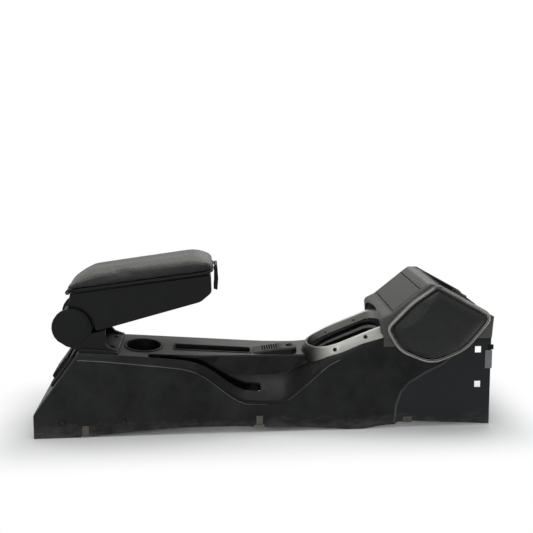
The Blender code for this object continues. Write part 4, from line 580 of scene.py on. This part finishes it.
def moulded_plastic(name, body, worn, grain, depth, rough, dust_and_top_light_share=0.0, dirt_and_top_light_colour=None, skirt=0.0, front=None, hollow=None):
    """Injection-moulded plastic: etched grain, faint flow mottling and paler edges, partly rubbed wear and partly
    painted highlight.

    It can carry dust with painted light from above on its top, dried splashes along its skirt, another tint on the
    front plates and painted shade in the hand-brake recess.
    """
    material, tree, shader = blank_material(name)
    place = add_node(tree, "TexCoord").outputs["Object"]
    mottle = noise(tree, place, MOTTLE_SIZE, 5.0, 0.6)
    specks = noise(tree, place, grain, 2.0)
    round_normal, edge = rounded_edges(tree, 1.0)
    tone = ranged(tree, mottle, 0.35, 0.7, most=0.08)
    patchy = ranged(tree, mottle, 0.3, 0.6, least=0.45)
    # The worn colour on marked faces and along edges is partly wear and partly a painted highlight
    wear_and_highlight_marks = combined(tree, "MULTIPLY", marked(tree, "wear"), patchy)
    rubbed = combined(tree, "MAXIMUM", combined(tree, "MULTIPLY", edge, 0.35), wear_and_highlight_marks)
    result = mixed(tree, combined(tree, "MAXIMUM", tone, rubbed), body, worn)
    if front:
        # Painted shade darkens the hand-brake recess's floor
        result = mixed(tree, marked(tree, "sunk"), result, hollow)
        result = mixed(tree, marked(tree, "front_plate"), result, front)
        up = marked(tree, "plate")
    elif dust_and_top_light_share:
        facing = add_node(tree, "NewGeometry").outputs["Normal"]
        up = add_node(tree, "SeparateXYZ", {"Vector": facing}).outputs["Z"]
    # Upward faces or the top plate grow lighter: dust, and painted light from above
    if dust_and_top_light_share:
        result = mixed(tree, ranged(tree, up, 0.45, 0.95, most=dust_and_top_light_share), result, dirt_and_top_light_colour)
    if skirt:
        height = add_node(tree, "SeparateXYZ", {"Vector": place}).outputs["Z"]
        smear = streaked(tree, place, SPLASH_STREAKS, 7.0, 0.68)
        amount = combined(tree, "MULTIPLY", ranged(tree, height, SPLASH_HEIGHT, 0.0), smear)
        result = mixed(tree, ranged(tree, amount, 0.30, 0.62, most=skirt), result, dirt_and_top_light_colour)
    roughness = ranged(tree, mottle, 0.3, 0.7, least=rough - 0.07, most=rough + 0.08)
    bump = add_node(tree, "Bump", {"Height": specks, "Distance": depth, "Strength": 0.6, "Normal": round_normal})
    fill(tree, shader, {"Base Color": result, "Roughness": roughness, "Normal": bump.outputs["Normal"], "IOR": 1.5,
                        "Specular IOR Level": 0.2})
    return material


def leatherette(name, body, worn, grain, depth, rough, lower=None):
    """Embossed vinyl: rounded pebbles with painted shade in the creases, glossier on the pebbles than between them.
    """
    material, tree, shader = blank_material(name)
    place = add_node(tree, "TexCoord").outputs["Object"]
    wander = add_node(tree, "TexNoise", {"Vector": place, "Scale": 1 / (3 * grain), "Detail": 2.0})
    shifted = add_node(tree, "Mix", {"Factor": 0.0012, "A": place, "B": wander.outputs["Color"]},
                       data_type="VECTOR").outputs["Result"]
    pebble = add_node(tree, "TexVoronoi", {"Vector": shifted, "Scale": 1 / grain, "Smoothness": 0.6},
                      feature="SMOOTH_F1")
    crease = ranged(tree, pebble.outputs["Distance"], 0.25, 0.75)
    result = mixed(tree, noise(tree, place, VINYL_CLOUD_SIZE, 4.0, 0.55), body, worn)
    # Painted shade on the side below the seam
    if lower:
        result = mixed(tree, marked(tree, "bolster"), result, lower)
    # Painted shade in the creases between the pebbles
    crease_shade = mixed(tree, crease, result, linear(CREASE_SHADE_COLOUR), blend_type="MULTIPLY")
    raised = combined(tree, "SUBTRACT", 1.0, crease)
    bump = add_node(tree, "Bump", {"Height": raised, "Distance": depth, "Strength": 0.8})
    fill(tree, shader, {"Base Color": mixed(tree, 0.35, result, crease_shade),
                        "Roughness": ranged(tree, crease, least=rough, most=rough + 0.2),
                        "Normal": bump.outputs["Normal"], "IOR": 1.52, "Specular IOR Level": 0.3,
                        "Sheen Weight": 0.08, "Sheen Roughness": 0.5})
    return material


def painted_plastic(name, body, worn, shaded, rough):
    """Moulded plastic under a fine metallic lacquer: drawn streaks that vary its roughness like wipe marks and
    lighten its colour as a painted streaky reflection, a painted highlight along its edges, and painted shade where
    marked.
    """
    material, tree, shader = blank_material(name)
    place = add_node(tree, "TexCoord").outputs["Object"]
    wipe_and_reflection = streaked(tree, place, WIPE_AND_REFLECTION_STREAKS, 4.0)
    flake = noise(tree, place, FLAKE_SIZE, 1.0)
    round_normal, edge = rounded_edges(tree, 0.5)
    tone = ranged(tree, wipe_and_reflection, 0.3, 0.7, most=0.4)
    # Painted reflection: the streaks and edges lighten towards the highlight colour
    colour = mixed(tree, combined(tree, "MAXIMUM", edge, tone), body, worn)
    bump = add_node(tree, "Bump", {"Height": flake, "Distance": 0.02 * MM, "Strength": 0.5,
                                   "Normal": round_normal})
    # Painted shade on the bezel's nose
    fill(tree, shader, {"Base Color": mixed(tree, marked(tree, "shade"), colour, shaded),
                        "Roughness": ranged(tree, wipe_and_reflection, 0.3, 0.7, least=rough - 0.06, most=rough + 0.08),
                        "Normal": bump.outputs["Normal"], "Metallic": 0.35, "IOR": 1.5})
    return material


def plated_steel(name, body, worn):
    """Zinc-plated pressed steel gone dull: grey crystals with brown spots where the plating thinned."""
    material, tree, shader = blank_material(name)
    place = add_node(tree, "TexCoord").outputs["Object"]
    crystals = add_node(tree, "TexVoronoi", {"Vector": place, "Scale": 1 / CRYSTAL_SIZE}).outputs["Distance"]
    rust = ranged(tree, noise(tree, place, RUST_SIZE, 5.0, 0.65), 0.5, 0.68)
    fill(tree, shader, {"Base Color": mixed(tree, rust, body, worn),
                        "Roughness": ranged(tree, crystals, least=0.36, most=0.6),
                        "Normal": edge_normal(tree, 0.3 * MM), "Metallic": 0.9})
    return material


def felt(name, body, worn):
    """Pressed fibre felt: a matt mat of short crossed fibres."""
    material, tree, shader = blank_material(name)
    mat = streaked(tree, add_node(tree, "TexCoord").outputs["Object"], FIBRE_STREAKS, 5.0, 0.7)
    bump = add_node(tree, "Bump", {"Height": mat, "Distance": 0.4 * MM, "Strength": 0.8})
    fill(tree, shader, {"Base Color": mixed(tree, mat, body, worn), "Normal": bump.outputs["Normal"],
                        "Roughness": 0.95, "Sheen Weight": 0.3})
    return material


def finish_of(name):
    """The named finish, made once from the colours and sizes in the panel."""
    if name in bpy.data.materials:
        return bpy.data.materials[name]
    colours = bpy.context.scene.console_colours
    sizes = bpy.context.scene.console_sizes
    tint = {key: tuple(getattr(colours, key)) + (1.0,) for key in colours.bl_rna.properties.keys()
            if key not in ("rna_type", "name")}
    if name == "black_polypropylene":
        # Filled polypropylene with a spark-eroded grain: a dim satin with dust and painted top light on its top
        # plate, dust along its foot, painted shade in the hand-brake recess and painted highlights with wear along
        # its edges
        return moulded_plastic(name, tint["shell"], tint["shell_worn"], sizes.plastic_grain, depth=0.10 * MM,
                               rough=0.44, dust_and_top_light_share=0.42, dirt_and_top_light_colour=tint["dust"], skirt=0.4, front=tint["front_plate"],
                               hollow=tint["hollow"])
    if name == "liner_polypropylene":
        # The same plastic, unworn and inside the hollows: nearly black and matt
        return moulded_plastic(name, tint["liner"], tint["shell"], sizes.plastic_grain, depth=0.08 * MM, rough=0.5)
    if name == "charcoal_polypropylene":
        # Charcoal polypropylene with a leather-like etch: an even matt grey-black, with dust and painted top light
        # on its upward faces
        return moulded_plastic(name, tint["armrest"], tint["armrest_worn"], sizes.plastic_grain, depth=0.09 * MM,
                               rough=0.5, dust_and_top_light_share=0.25, dirt_and_top_light_colour=tint["dust"])
    if name == "grey_abs":
        # Mid-grey acrylonitrile styrene with a fine spray grain: soft light, no clear reflections
        return moulded_plastic(name, tint["tower"], tint["tower_worn"], sizes.plastic_grain, depth=0.05 * MM,
                               rough=0.42)
    if name == "trim_abs":
        # Smooth grey trim bead: a narrow painted highlight along its crown and edges, in its pale worn colour
        return moulded_plastic(name, tint["trim"], tint["trim_worn"], grain=2.0 * MM, depth=0.02 * MM, rough=0.3)
    if name == "silver_lacquer":
        # Silver-grey lacquer over plastic, painted from dark shade on its nose to a nearly white painted reflection
        # in its streaks and along its edges
        return painted_plastic(name, tint["bezel"], tint["bezel_worn"], tint["bezel_nose"], rough=0.34)
    if name == "black_leatherette":
        # Black embossed vinyl over foam: a soft sheen broken up by the pebble grain
        return leatherette(name, tint["pad"], tint["pad_worn"], sizes.leather_grain, depth=0.28 * MM, rough=0.34)
    if name == "grey_leatherette":
        # Grey vinyl on the armrest's top, with painted shade on its side below the seam
        return leatherette(name, tint["lid_top"], tint["lid_top_worn"], sizes.leather_grain, depth=0.30 * MM,
                           rough=0.46, lower=tint["lid_side"])
    if name == "zinc_plated_steel":
        return plated_steel(name, tint["steel"], tint["steel_worn"])
    if name == "blackened_steel":
        # Blackened screws with a little brown bloom: they sink into their dark counterbores
        return plated_steel(name, tint["black_steel"], tint["steel_worn"])
    if name == "fibre_felt":
        return felt(name, tint["felt"], tint["felt_worn"])
    if name == "moulded_rubber":
        # Ribbed rubber mat: matt and slightly bloomed
        return moulded_plastic(name, tint["rubber"], tint["armrest_worn"], grain=1.8 * MM, depth=0.12 * MM,
                               rough=0.75)
    raise ValueError(name)


# Settings


def colour_property(label, code):
    """A colour setting that starts from an sRGB hex code."""
    return bpy.props.FloatVectorProperty(name=label, description="Colour of the " + label.lower(), size=3,
                                         subtype="COLOR", min=0.0, max=1.0, default=linear(code)[:3])


def length_property(label, words, value):
    """A length setting in metres."""
    return bpy.props.FloatProperty(name=label, description=words, default=value, min=0.0, unit="LENGTH",
                                   subtype="DISTANCE")


class ConsoleColours(bpy.types.PropertyGroup):
    """Colours of the console's finishes."""

    shell: colour_property("Shell", "#0a0b0c")
    # The worn colours of the moulded plastics also paint the highlights along their edges
    shell_worn: colour_property("Shell where rubbed", "#6e6f72")
    front_plate: colour_property("Front plates", "#222326")
    # Painted shade on the hand-brake recess's floor
    hollow: colour_property("Hand-brake recess", "#040405")
    # Dust, also the painted light from above on upward faces
    dust: colour_property("Dust", "#6a6862")
    liner: colour_property("Liners", "#090a0b")
    armrest: colour_property("Armrest box", "#0e0f10")
    # Worn colour that also paints the highlights along the armrest's edges
    armrest_worn: colour_property("Armrest box where rubbed", "#3c3d3e")
    tower: colour_property("Tower", "#4e4d4a")
    # Worn colour that also paints the highlights along the tower's edges
    tower_worn: colour_property("Tower where rubbed", "#66655f")
    trim: colour_property("Knee trim", "#585854")
    # Painted highlight along the trim's crown and edges, with some wear
    trim_worn: colour_property("Knee trim where rubbed", "#c6c6be")
    bezel: colour_property("Lever bezel", "#bcbcb5")
    # Painted highlight and streaky reflection on the bezel
    bezel_worn: colour_property("Lever bezel where wiped", "#cdcdc6")
    # Painted shade on the bezel's nose
    bezel_nose: colour_property("Lever bezel's nose", "#2c2c29")
    pad: colour_property("Knee pads", "#131415")
    pad_worn: colour_property("Knee pads where rubbed", "#202122")
    lid_top: colour_property("Armrest top", "#5c5c58")
    lid_top_worn: colour_property("Armrest top where rubbed", "#6a6a65")
    # Painted shade on the armrest's side
    lid_side: colour_property("Armrest side", "#191a1b")
    steel: colour_property("Steel", "#5f5d58")
    black_steel: colour_property("Blackened screws", "#232323")
    steel_worn: colour_property("Steel where spotted", "#5a4a3a")
    felt: colour_property("Felt strips", "#5b5f62")
    felt_worn: colour_property("Felt fibres", "#8a8e90")
    rubber: colour_property("Rubber mat", "#1a1a1b")


class ConsoleSizes(bpy.types.PropertyGroup):
    """Sizes of the console's grain, edges and seams."""

    plastic_grain: length_property("Plastic grain", "Width of the etched grain, coarse enough to show", 1.7 * MM)
    leather_grain: length_property("Leather grain", "Width of the vinyl's pebbles, coarse enough to show", 2.6 * MM)
    edge_round: length_property("Edge rounding", "Radius of the moulded edges", 0.9 * MM)
    edge_bevel: length_property("Edge bevel", "Width cut from the larger edges", 0.7 * MM)
    pad_voxel: length_property("Pad detail", "Size of the mesh that the pads are blown up from", 5.0 * MM)
    lid_swell: length_property("Lid swell", "How far the lid's foam may swell", 7.0 * MM)
    knee_swell: length_property("Knee pad swell", "How far the knee pads' foam may swell", 5.0 * MM)
    seam_depth: length_property("Seam depth", "Depth of the sewn seam round the lid", 1.8 * MM)
    seam_width: length_property("Seam width", "Half width of the sewn seam round the lid", 2.2 * MM)
    step_run: length_property("Step run", "Width of the slope behind each front plate", 5.0 * MM)
    pad_overhang: length_property("Pad overhang", "How far the lid's pad reaches back over its hinge", 8.0 * MM)


# Pieces


class CONSOLE_OT_shell(bpy.types.Operator):
    """Finish the long moulded shell and the liners that sit in it"""

    bl_idname = "console.shell"
    bl_label = "Shell and liners"

    def execute(self, context):
        sizes = context.scene.console_sizes
        dress("main_shell", finish_of("black_polypropylene"), sizes.edge_bevel, shape=shape_shell)
        for node in ("cup_liner", "tray_liner", "gate_frame"):
            dress(node, finish_of("liner_polypropylene"))
        dress("coin_holder", finish_of("charcoal_polypropylene"))
        return {"FINISHED"}


class CONSOLE_OT_bezel(bpy.types.Operator):
    """Finish the raised bezel round the gear lever"""

    bl_idname = "console.bezel"
    bl_label = "Lever bezel"

    def execute(self, context):
        dress("shifter_bezel", finish_of("silver_lacquer"), context.scene.console_sizes.edge_bevel,
              shape=shape_bezel)
        return {"FINISHED"}


class CONSOLE_OT_tower(bpy.types.Operator):
    """Finish the front tower with its ashtray and tray"""

    bl_idname = "console.tower"
    bl_label = "Front tower"

    def execute(self, context):
        sizes = context.scene.console_sizes
        dress("tower_housing", finish_of("grey_abs"), sizes.edge_bevel * TOWER_BEVEL)
        line_arch(finish_of("grey_abs"))
        dress("ashtray_door", finish_of("grey_abs"), sizes.edge_bevel)
        for node in ("ashtray_bin", "tower_tray"):
            dress(node, finish_of("liner_polypropylene"))
        return {"FINISHED"}


class CONSOLE_OT_knee_pads(bpy.types.Operator):
    """Blow up the two knee pads and finish the trims round them"""

    bl_idname = "console.knee_pads"
    bl_label = "Knee pads"

    def execute(self, context):
        sizes = context.scene.console_sizes
        for side in ("right", "left"):
            node = "knee_pad_" + side
            low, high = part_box(node)
            outward = 1 if side == "left" else -1
            inner = low.y if side == "left" else high.y
            depth = high.y - low.y

            def held(place):
                return 1 - smooth_step(abs(place.y - inner) / depth, *KNEE_HELD)

            bm = stuffed(node, sizes.pad_voxel, KNEE_SHRINK, sizes.knee_swell, held)
            bm = subdivided(bm, node + "_foam", 1)
            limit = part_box("knee_trim_" + side)
            for vert in bm.verts:
                vert.co.x = min(high.x + KNEE_SPILL, max(low.x - KNEE_SPILL, vert.co.x))
                vert.co.z = min(limit[1].z - TRIM_LAP, max(limit[0].z + TRIM_LAP, vert.co.z))
                if outward * (vert.co.y - inner) < 0:
                    vert.co.y = inner
            pad = finish_mesh(bm, node + "_cushion", ALL_SMOOTH)
            fit(pad, node, finish_of("black_leatherette"))
            dress("knee_trim_" + side, finish_of("trim_abs"), sizes.edge_bevel)
        return {"FINISHED"}


class CONSOLE_OT_armrest(bpy.types.Operator):
    """Finish the armrest's bracket, box, lid base and latch"""

    bl_idname = "console.armrest"
    bl_label = "Armrest"

    def execute(self, context):
        sizes = context.scene.console_sizes
        for node in ("armrest_bracket", "pivot_cap_right", "pivot_cap_left", "armrest_box"):
            dress(node, finish_of("charcoal_polypropylene"), sizes.edge_bevel)
        dress("lid_latch", finish_of("charcoal_polypropylene"), sizes.edge_bevel, shape=shape_latch)
        near, far = WEB_FACES
        for name, ends in (("bracket_web_right", (-far, -near)), ("bracket_web_left", (near, far))):
            bm = bmesh.new()
            plate_prism(bm, WEB_OUTLINE, *ends)
            own_piece(bm, name, "armrest_bracket", finish_of("charcoal_polypropylene"))
        dress("lid_base", finish_of("charcoal_polypropylene"), sizes.edge_bevel)
        dress("box_mat", finish_of("moulded_rubber"))
        for node in ("latch_ear_right", "latch_ear_left"):
            keep(node, finish_of("liner_polypropylene"))
        for node in ("pivot_bush_right", "pivot_bush_left"):
            keep(node, finish_of("trim_abs"))
        return {"FINISHED"}


class CONSOLE_OT_lid_pad(bpy.types.Operator):
    """Blow up the armrest's pad and sew the seam round it"""

    bl_idname = "console.lid_pad"
    bl_label = "Armrest pad"

    def execute(self, context):
        sizes = context.scene.console_sizes
        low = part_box("lid_pad")[0]

        def held(place):
            floor = along(SEAM_PATH, place.x) - LID_HELD_DROP
            return 1 - smooth_step(place.z, floor - LID_HELD_BAND[0], floor + LID_HELD_BAND[1])

        bm = stuffed("lid_pad", sizes.pad_voxel, LID_SHRINK, sizes.lid_swell, held)
        for vert in bm.verts:
            vert.co.x -= sizes.pad_overhang * (1 - smooth_step(vert.co.x, low.x, low.x + OVERHANG_RUN))
        bm = subdivided(bm, "lid_pad_foam", 2)
        layer = bm.verts.layers.float.new("bolster")
        for vert in bm.verts:
            above = vert.co.z - along(SEAM_PATH, vert.co.x)
            facing = smooth_step(math.hypot(vert.normal.y, SEAM_REAR_SHARE * min(0.0, vert.normal.x)), *SEAM_FACING)
            groove = math.exp(-(above / sizes.seam_width) ** 2) * facing
            vert.co -= vert.normal * sizes.seam_depth * groove
            # Marks the side below the seam for its painted shade
            vert[layer] = 1 - smooth_step(above, *SIDE_SHADE_EDGE)
        pad = finish_mesh(bm, "lid_pad_cushion", ALL_SMOOTH)
        fit(pad, "lid_pad", finish_of("grey_leatherette"))
        return {"FINISHED"}


class CONSOLE_OT_rear(bpy.types.Operator):
    """Finish the rear panel and its ashtray"""

    bl_idname = "console.rear"
    bl_label = "Rear panel"

    def execute(self, context):
        for node in ("rear_panel", "rear_ashtray"):
            dress(node, finish_of("black_polypropylene"), REAR_BEVEL)
        return {"FINISHED"}


class CONSOLE_OT_hardware(bpy.types.Operator):
    """Finish the screws, clips, pins and felt strips"""

    bl_idname = "console.hardware"
    bl_label = "Screws and clips"

    def execute(self, context):
        for node, slot in SLOTS.items():
            if slot == "steel" and "screw" in node:
                dress(node, finish_of("blackened_steel"))
            elif slot == "steel":
                dress(node, finish_of("zinc_plated_steel"),
                      shape=shape_slot_nut if node == SLOT_NUT else None)
            elif slot == "foam":
                dress(node, finish_of("fibre_felt"))
        for node in ("front_clip_right", "front_clip_left"):
            dress(node, finish_of("liner_polypropylene"))
        return {"FINISHED"}


# Studio


class CONSOLE_OT_stage(bpy.types.Operator):
    """Set up the pale floor, the soft lamps and the camera"""

    bl_idname = "console.stage"
    bl_label = "Studio"

    def execute(self, context):
        scene = context.scene
        bm = bmesh.new()
        bmesh.ops.create_grid(bm, x_segments=1, y_segments=1, size=FLOOR_SIZE)
        floor = finish_mesh(bm, "studio_floor")
        floor.data.materials.append(floor_material())
        studio_world(scene)
        lamp("overhead", (0.0, 0.25, 2.2), (0.0, 0.0, 0.2), width=2.6, height=1.5, power=34.0)
        lamp("front_fill", (-0.9, -2.6, 1.3), (0.0, 0.0, 0.2), width=1.6, height=1.6, power=13.0)
        lamp("back_rim", (0.9, 2.2, 1.5), (0.0, 0.0, 0.25), width=1.8, height=1.0, power=12.0)
        scene.view_settings.view_transform = "Standard"
        photo_camera(scene)
        return {"FINISHED"}


def seen_directly(tree):
    """1 for what the camera sees itself, also through a clear piece, and otherwise 0."""
    ray = add_node(tree, "LightPath")
    return combined(tree, "MAXIMUM", ray.outputs["Is Camera Ray"], ray.outputs["Is Transmission Ray"])


def floor_material():
    """Pale floor, white to the eye away from the console, that keeps its shadow close by and under it."""
    material, tree, shader = blank_material("studio_paper")
    fill(tree, shader, {"Base Color": linear(PAPER_COLOUR), "Roughness": 0.9})
    place = add_node(tree, "SeparateXYZ", {"Vector": add_node(tree, "TexCoord").outputs["Object"]})
    past = []
    for axis, reach in zip("XY", CAD_BOX[1]):
        apart = add_node(tree, "Math", {0: place.outputs[axis]}, operation="ABSOLUTE").outputs[0]
        past.append(combined(tree, "MAXIMUM", combined(tree, "SUBTRACT", apart, reach), 0.0))
    away = add_node(tree, "VectorMath", {0: add_node(tree, "CombineXYZ", dict(zip("XY", past))).outputs[0]},
                    operation="LENGTH")
    clear = ranged(tree, away.outputs["Value"], 0.0, SHADOW_REACH, interpolation_type="SMOOTHSTEP")
    share = combined(tree, "MULTIPLY", seen_directly(tree), clear)
    glow = add_node(tree, "Emission", {"Color": WHITE, "Strength": 1.0})
    both = add_node(tree, "MixShader", {0: share, 1: shader.outputs[0], 2: glow.outputs[0]})
    fill(tree, tree.nodes["Material Output"], {"Surface": both.outputs[0]})
    return material


def studio_world(scene):
    """Even soft light from all round, with a white backdrop for the eye."""
    world = bpy.data.worlds.new("studio_world")
    world.use_nodes = True
    scene.world = world
    tree = world.node_tree
    soft = tree.nodes["Background"]
    fill(tree, soft, {"Color": linear(SKY_COLOUR), "Strength": 0.42})
    white = add_node(tree, "Background", {"Color": WHITE, "Strength": 1.0})
    gleam = combined(tree, "MULTIPLY", add_node(tree, "LightPath").outputs["Is Glossy Ray"], 0.25)
    share = combined(tree, "MAXIMUM", seen_directly(tree), gleam)
    both = add_node(tree, "MixShader", {0: share, 1: soft.outputs[0], 2: white.outputs[0]})
    fill(tree, tree.nodes["World Output"], {"Surface": both.outputs[0]})


def lamp(name, place, target, width, height, power):
    """A soft rectangular lamp that points at the target."""
    light = bpy.data.lights.new(name, "AREA")
    light.shape = "RECTANGLE"
    light.size = width
    light.size_y = height
    light.energy = power
    holder = bpy.data.objects.new(name, light)
    bpy.context.scene.collection.objects.link(holder)
    aim = (Vector(target) - Vector(place)).to_track_quat("-Z", "Y")
    holder.matrix_world = Matrix.Translation(place) @ aim.to_matrix().to_4x4()


def photo_camera(scene):
    """The camera at the photograph's viewing angle."""
    turn, pitch, roll = (math.radians(a) for a in (CAMERA_TURN, CAMERA_PITCH, CAMERA_ROLL))
    ahead = Vector((-math.sin(turn) * math.cos(pitch), math.cos(turn) * math.cos(pitch), -math.sin(pitch)))
    level = Vector((math.cos(turn), math.sin(turn), 0.0))
    above = level.cross(ahead)
    right = level * math.cos(roll) + above * math.sin(roll)
    up = above * math.cos(roll) - level * math.sin(roll)
    lens = bpy.data.cameras.new("photo_camera")
    lens.lens = CAMERA_LENS
    lens.clip_start = 0.05
    lens.clip_end = 50.0
    camera = bpy.data.objects.new("photo_camera", lens)
    scene.collection.objects.link(camera)
    camera.matrix_world = Matrix.Translation(CAMERA_PLACE) @ Matrix((right, up, -ahead)).transposed().to_4x4()
    scene.camera = camera


# Panel and start


class CONSOLE_PT_panel(bpy.types.Panel):
    """The console's settings and the pieces that can be built"""

    bl_idname = "CONSOLE_PT_panel"
    bl_label = "Centre console"
    bl_space_type = "VIEW_3D"
    bl_region_type = "UI"
    bl_category = "Console"

    def draw(self, context):
        layout = self.layout
        for settings in (context.scene.console_colours, context.scene.console_sizes):
            column = layout.column(align=True)
            for key in settings.bl_rna.properties.keys():
                if key not in ("rna_type", "name"):
                    column.prop(settings, key)
        for operator in OPERATORS:
            layout.operator(operator.bl_idname)


OPERATORS = (CONSOLE_OT_stage, CONSOLE_OT_shell, CONSOLE_OT_bezel, CONSOLE_OT_tower, CONSOLE_OT_knee_pads,
             CONSOLE_OT_armrest, CONSOLE_OT_lid_pad, CONSOLE_OT_rear, CONSOLE_OT_hardware)
CLASSES = (ConsoleColours, ConsoleSizes) + OPERATORS + (CONSOLE_PT_panel,)


def register():
    for item in CLASSES:
        bpy.utils.register_class(item)
    bpy.types.Scene.console_colours = bpy.props.PointerProperty(type=ConsoleColours)
    bpy.types.Scene.console_sizes = bpy.props.PointerProperty(type=ConsoleSizes)


def unregister():
    del bpy.types.Scene.console_sizes
    del bpy.types.Scene.console_colours
    for item in reversed(CLASSES):
        bpy.utils.unregister_class(item)


def main():
    """Builds every piece."""
    register()
    for operator in OPERATORS:
        group, name = operator.bl_idname.split(".")
        getattr(getattr(bpy.ops, group), name)()
    bpy.context.view_layer.update()


if __name__ == "__main__":
    main()
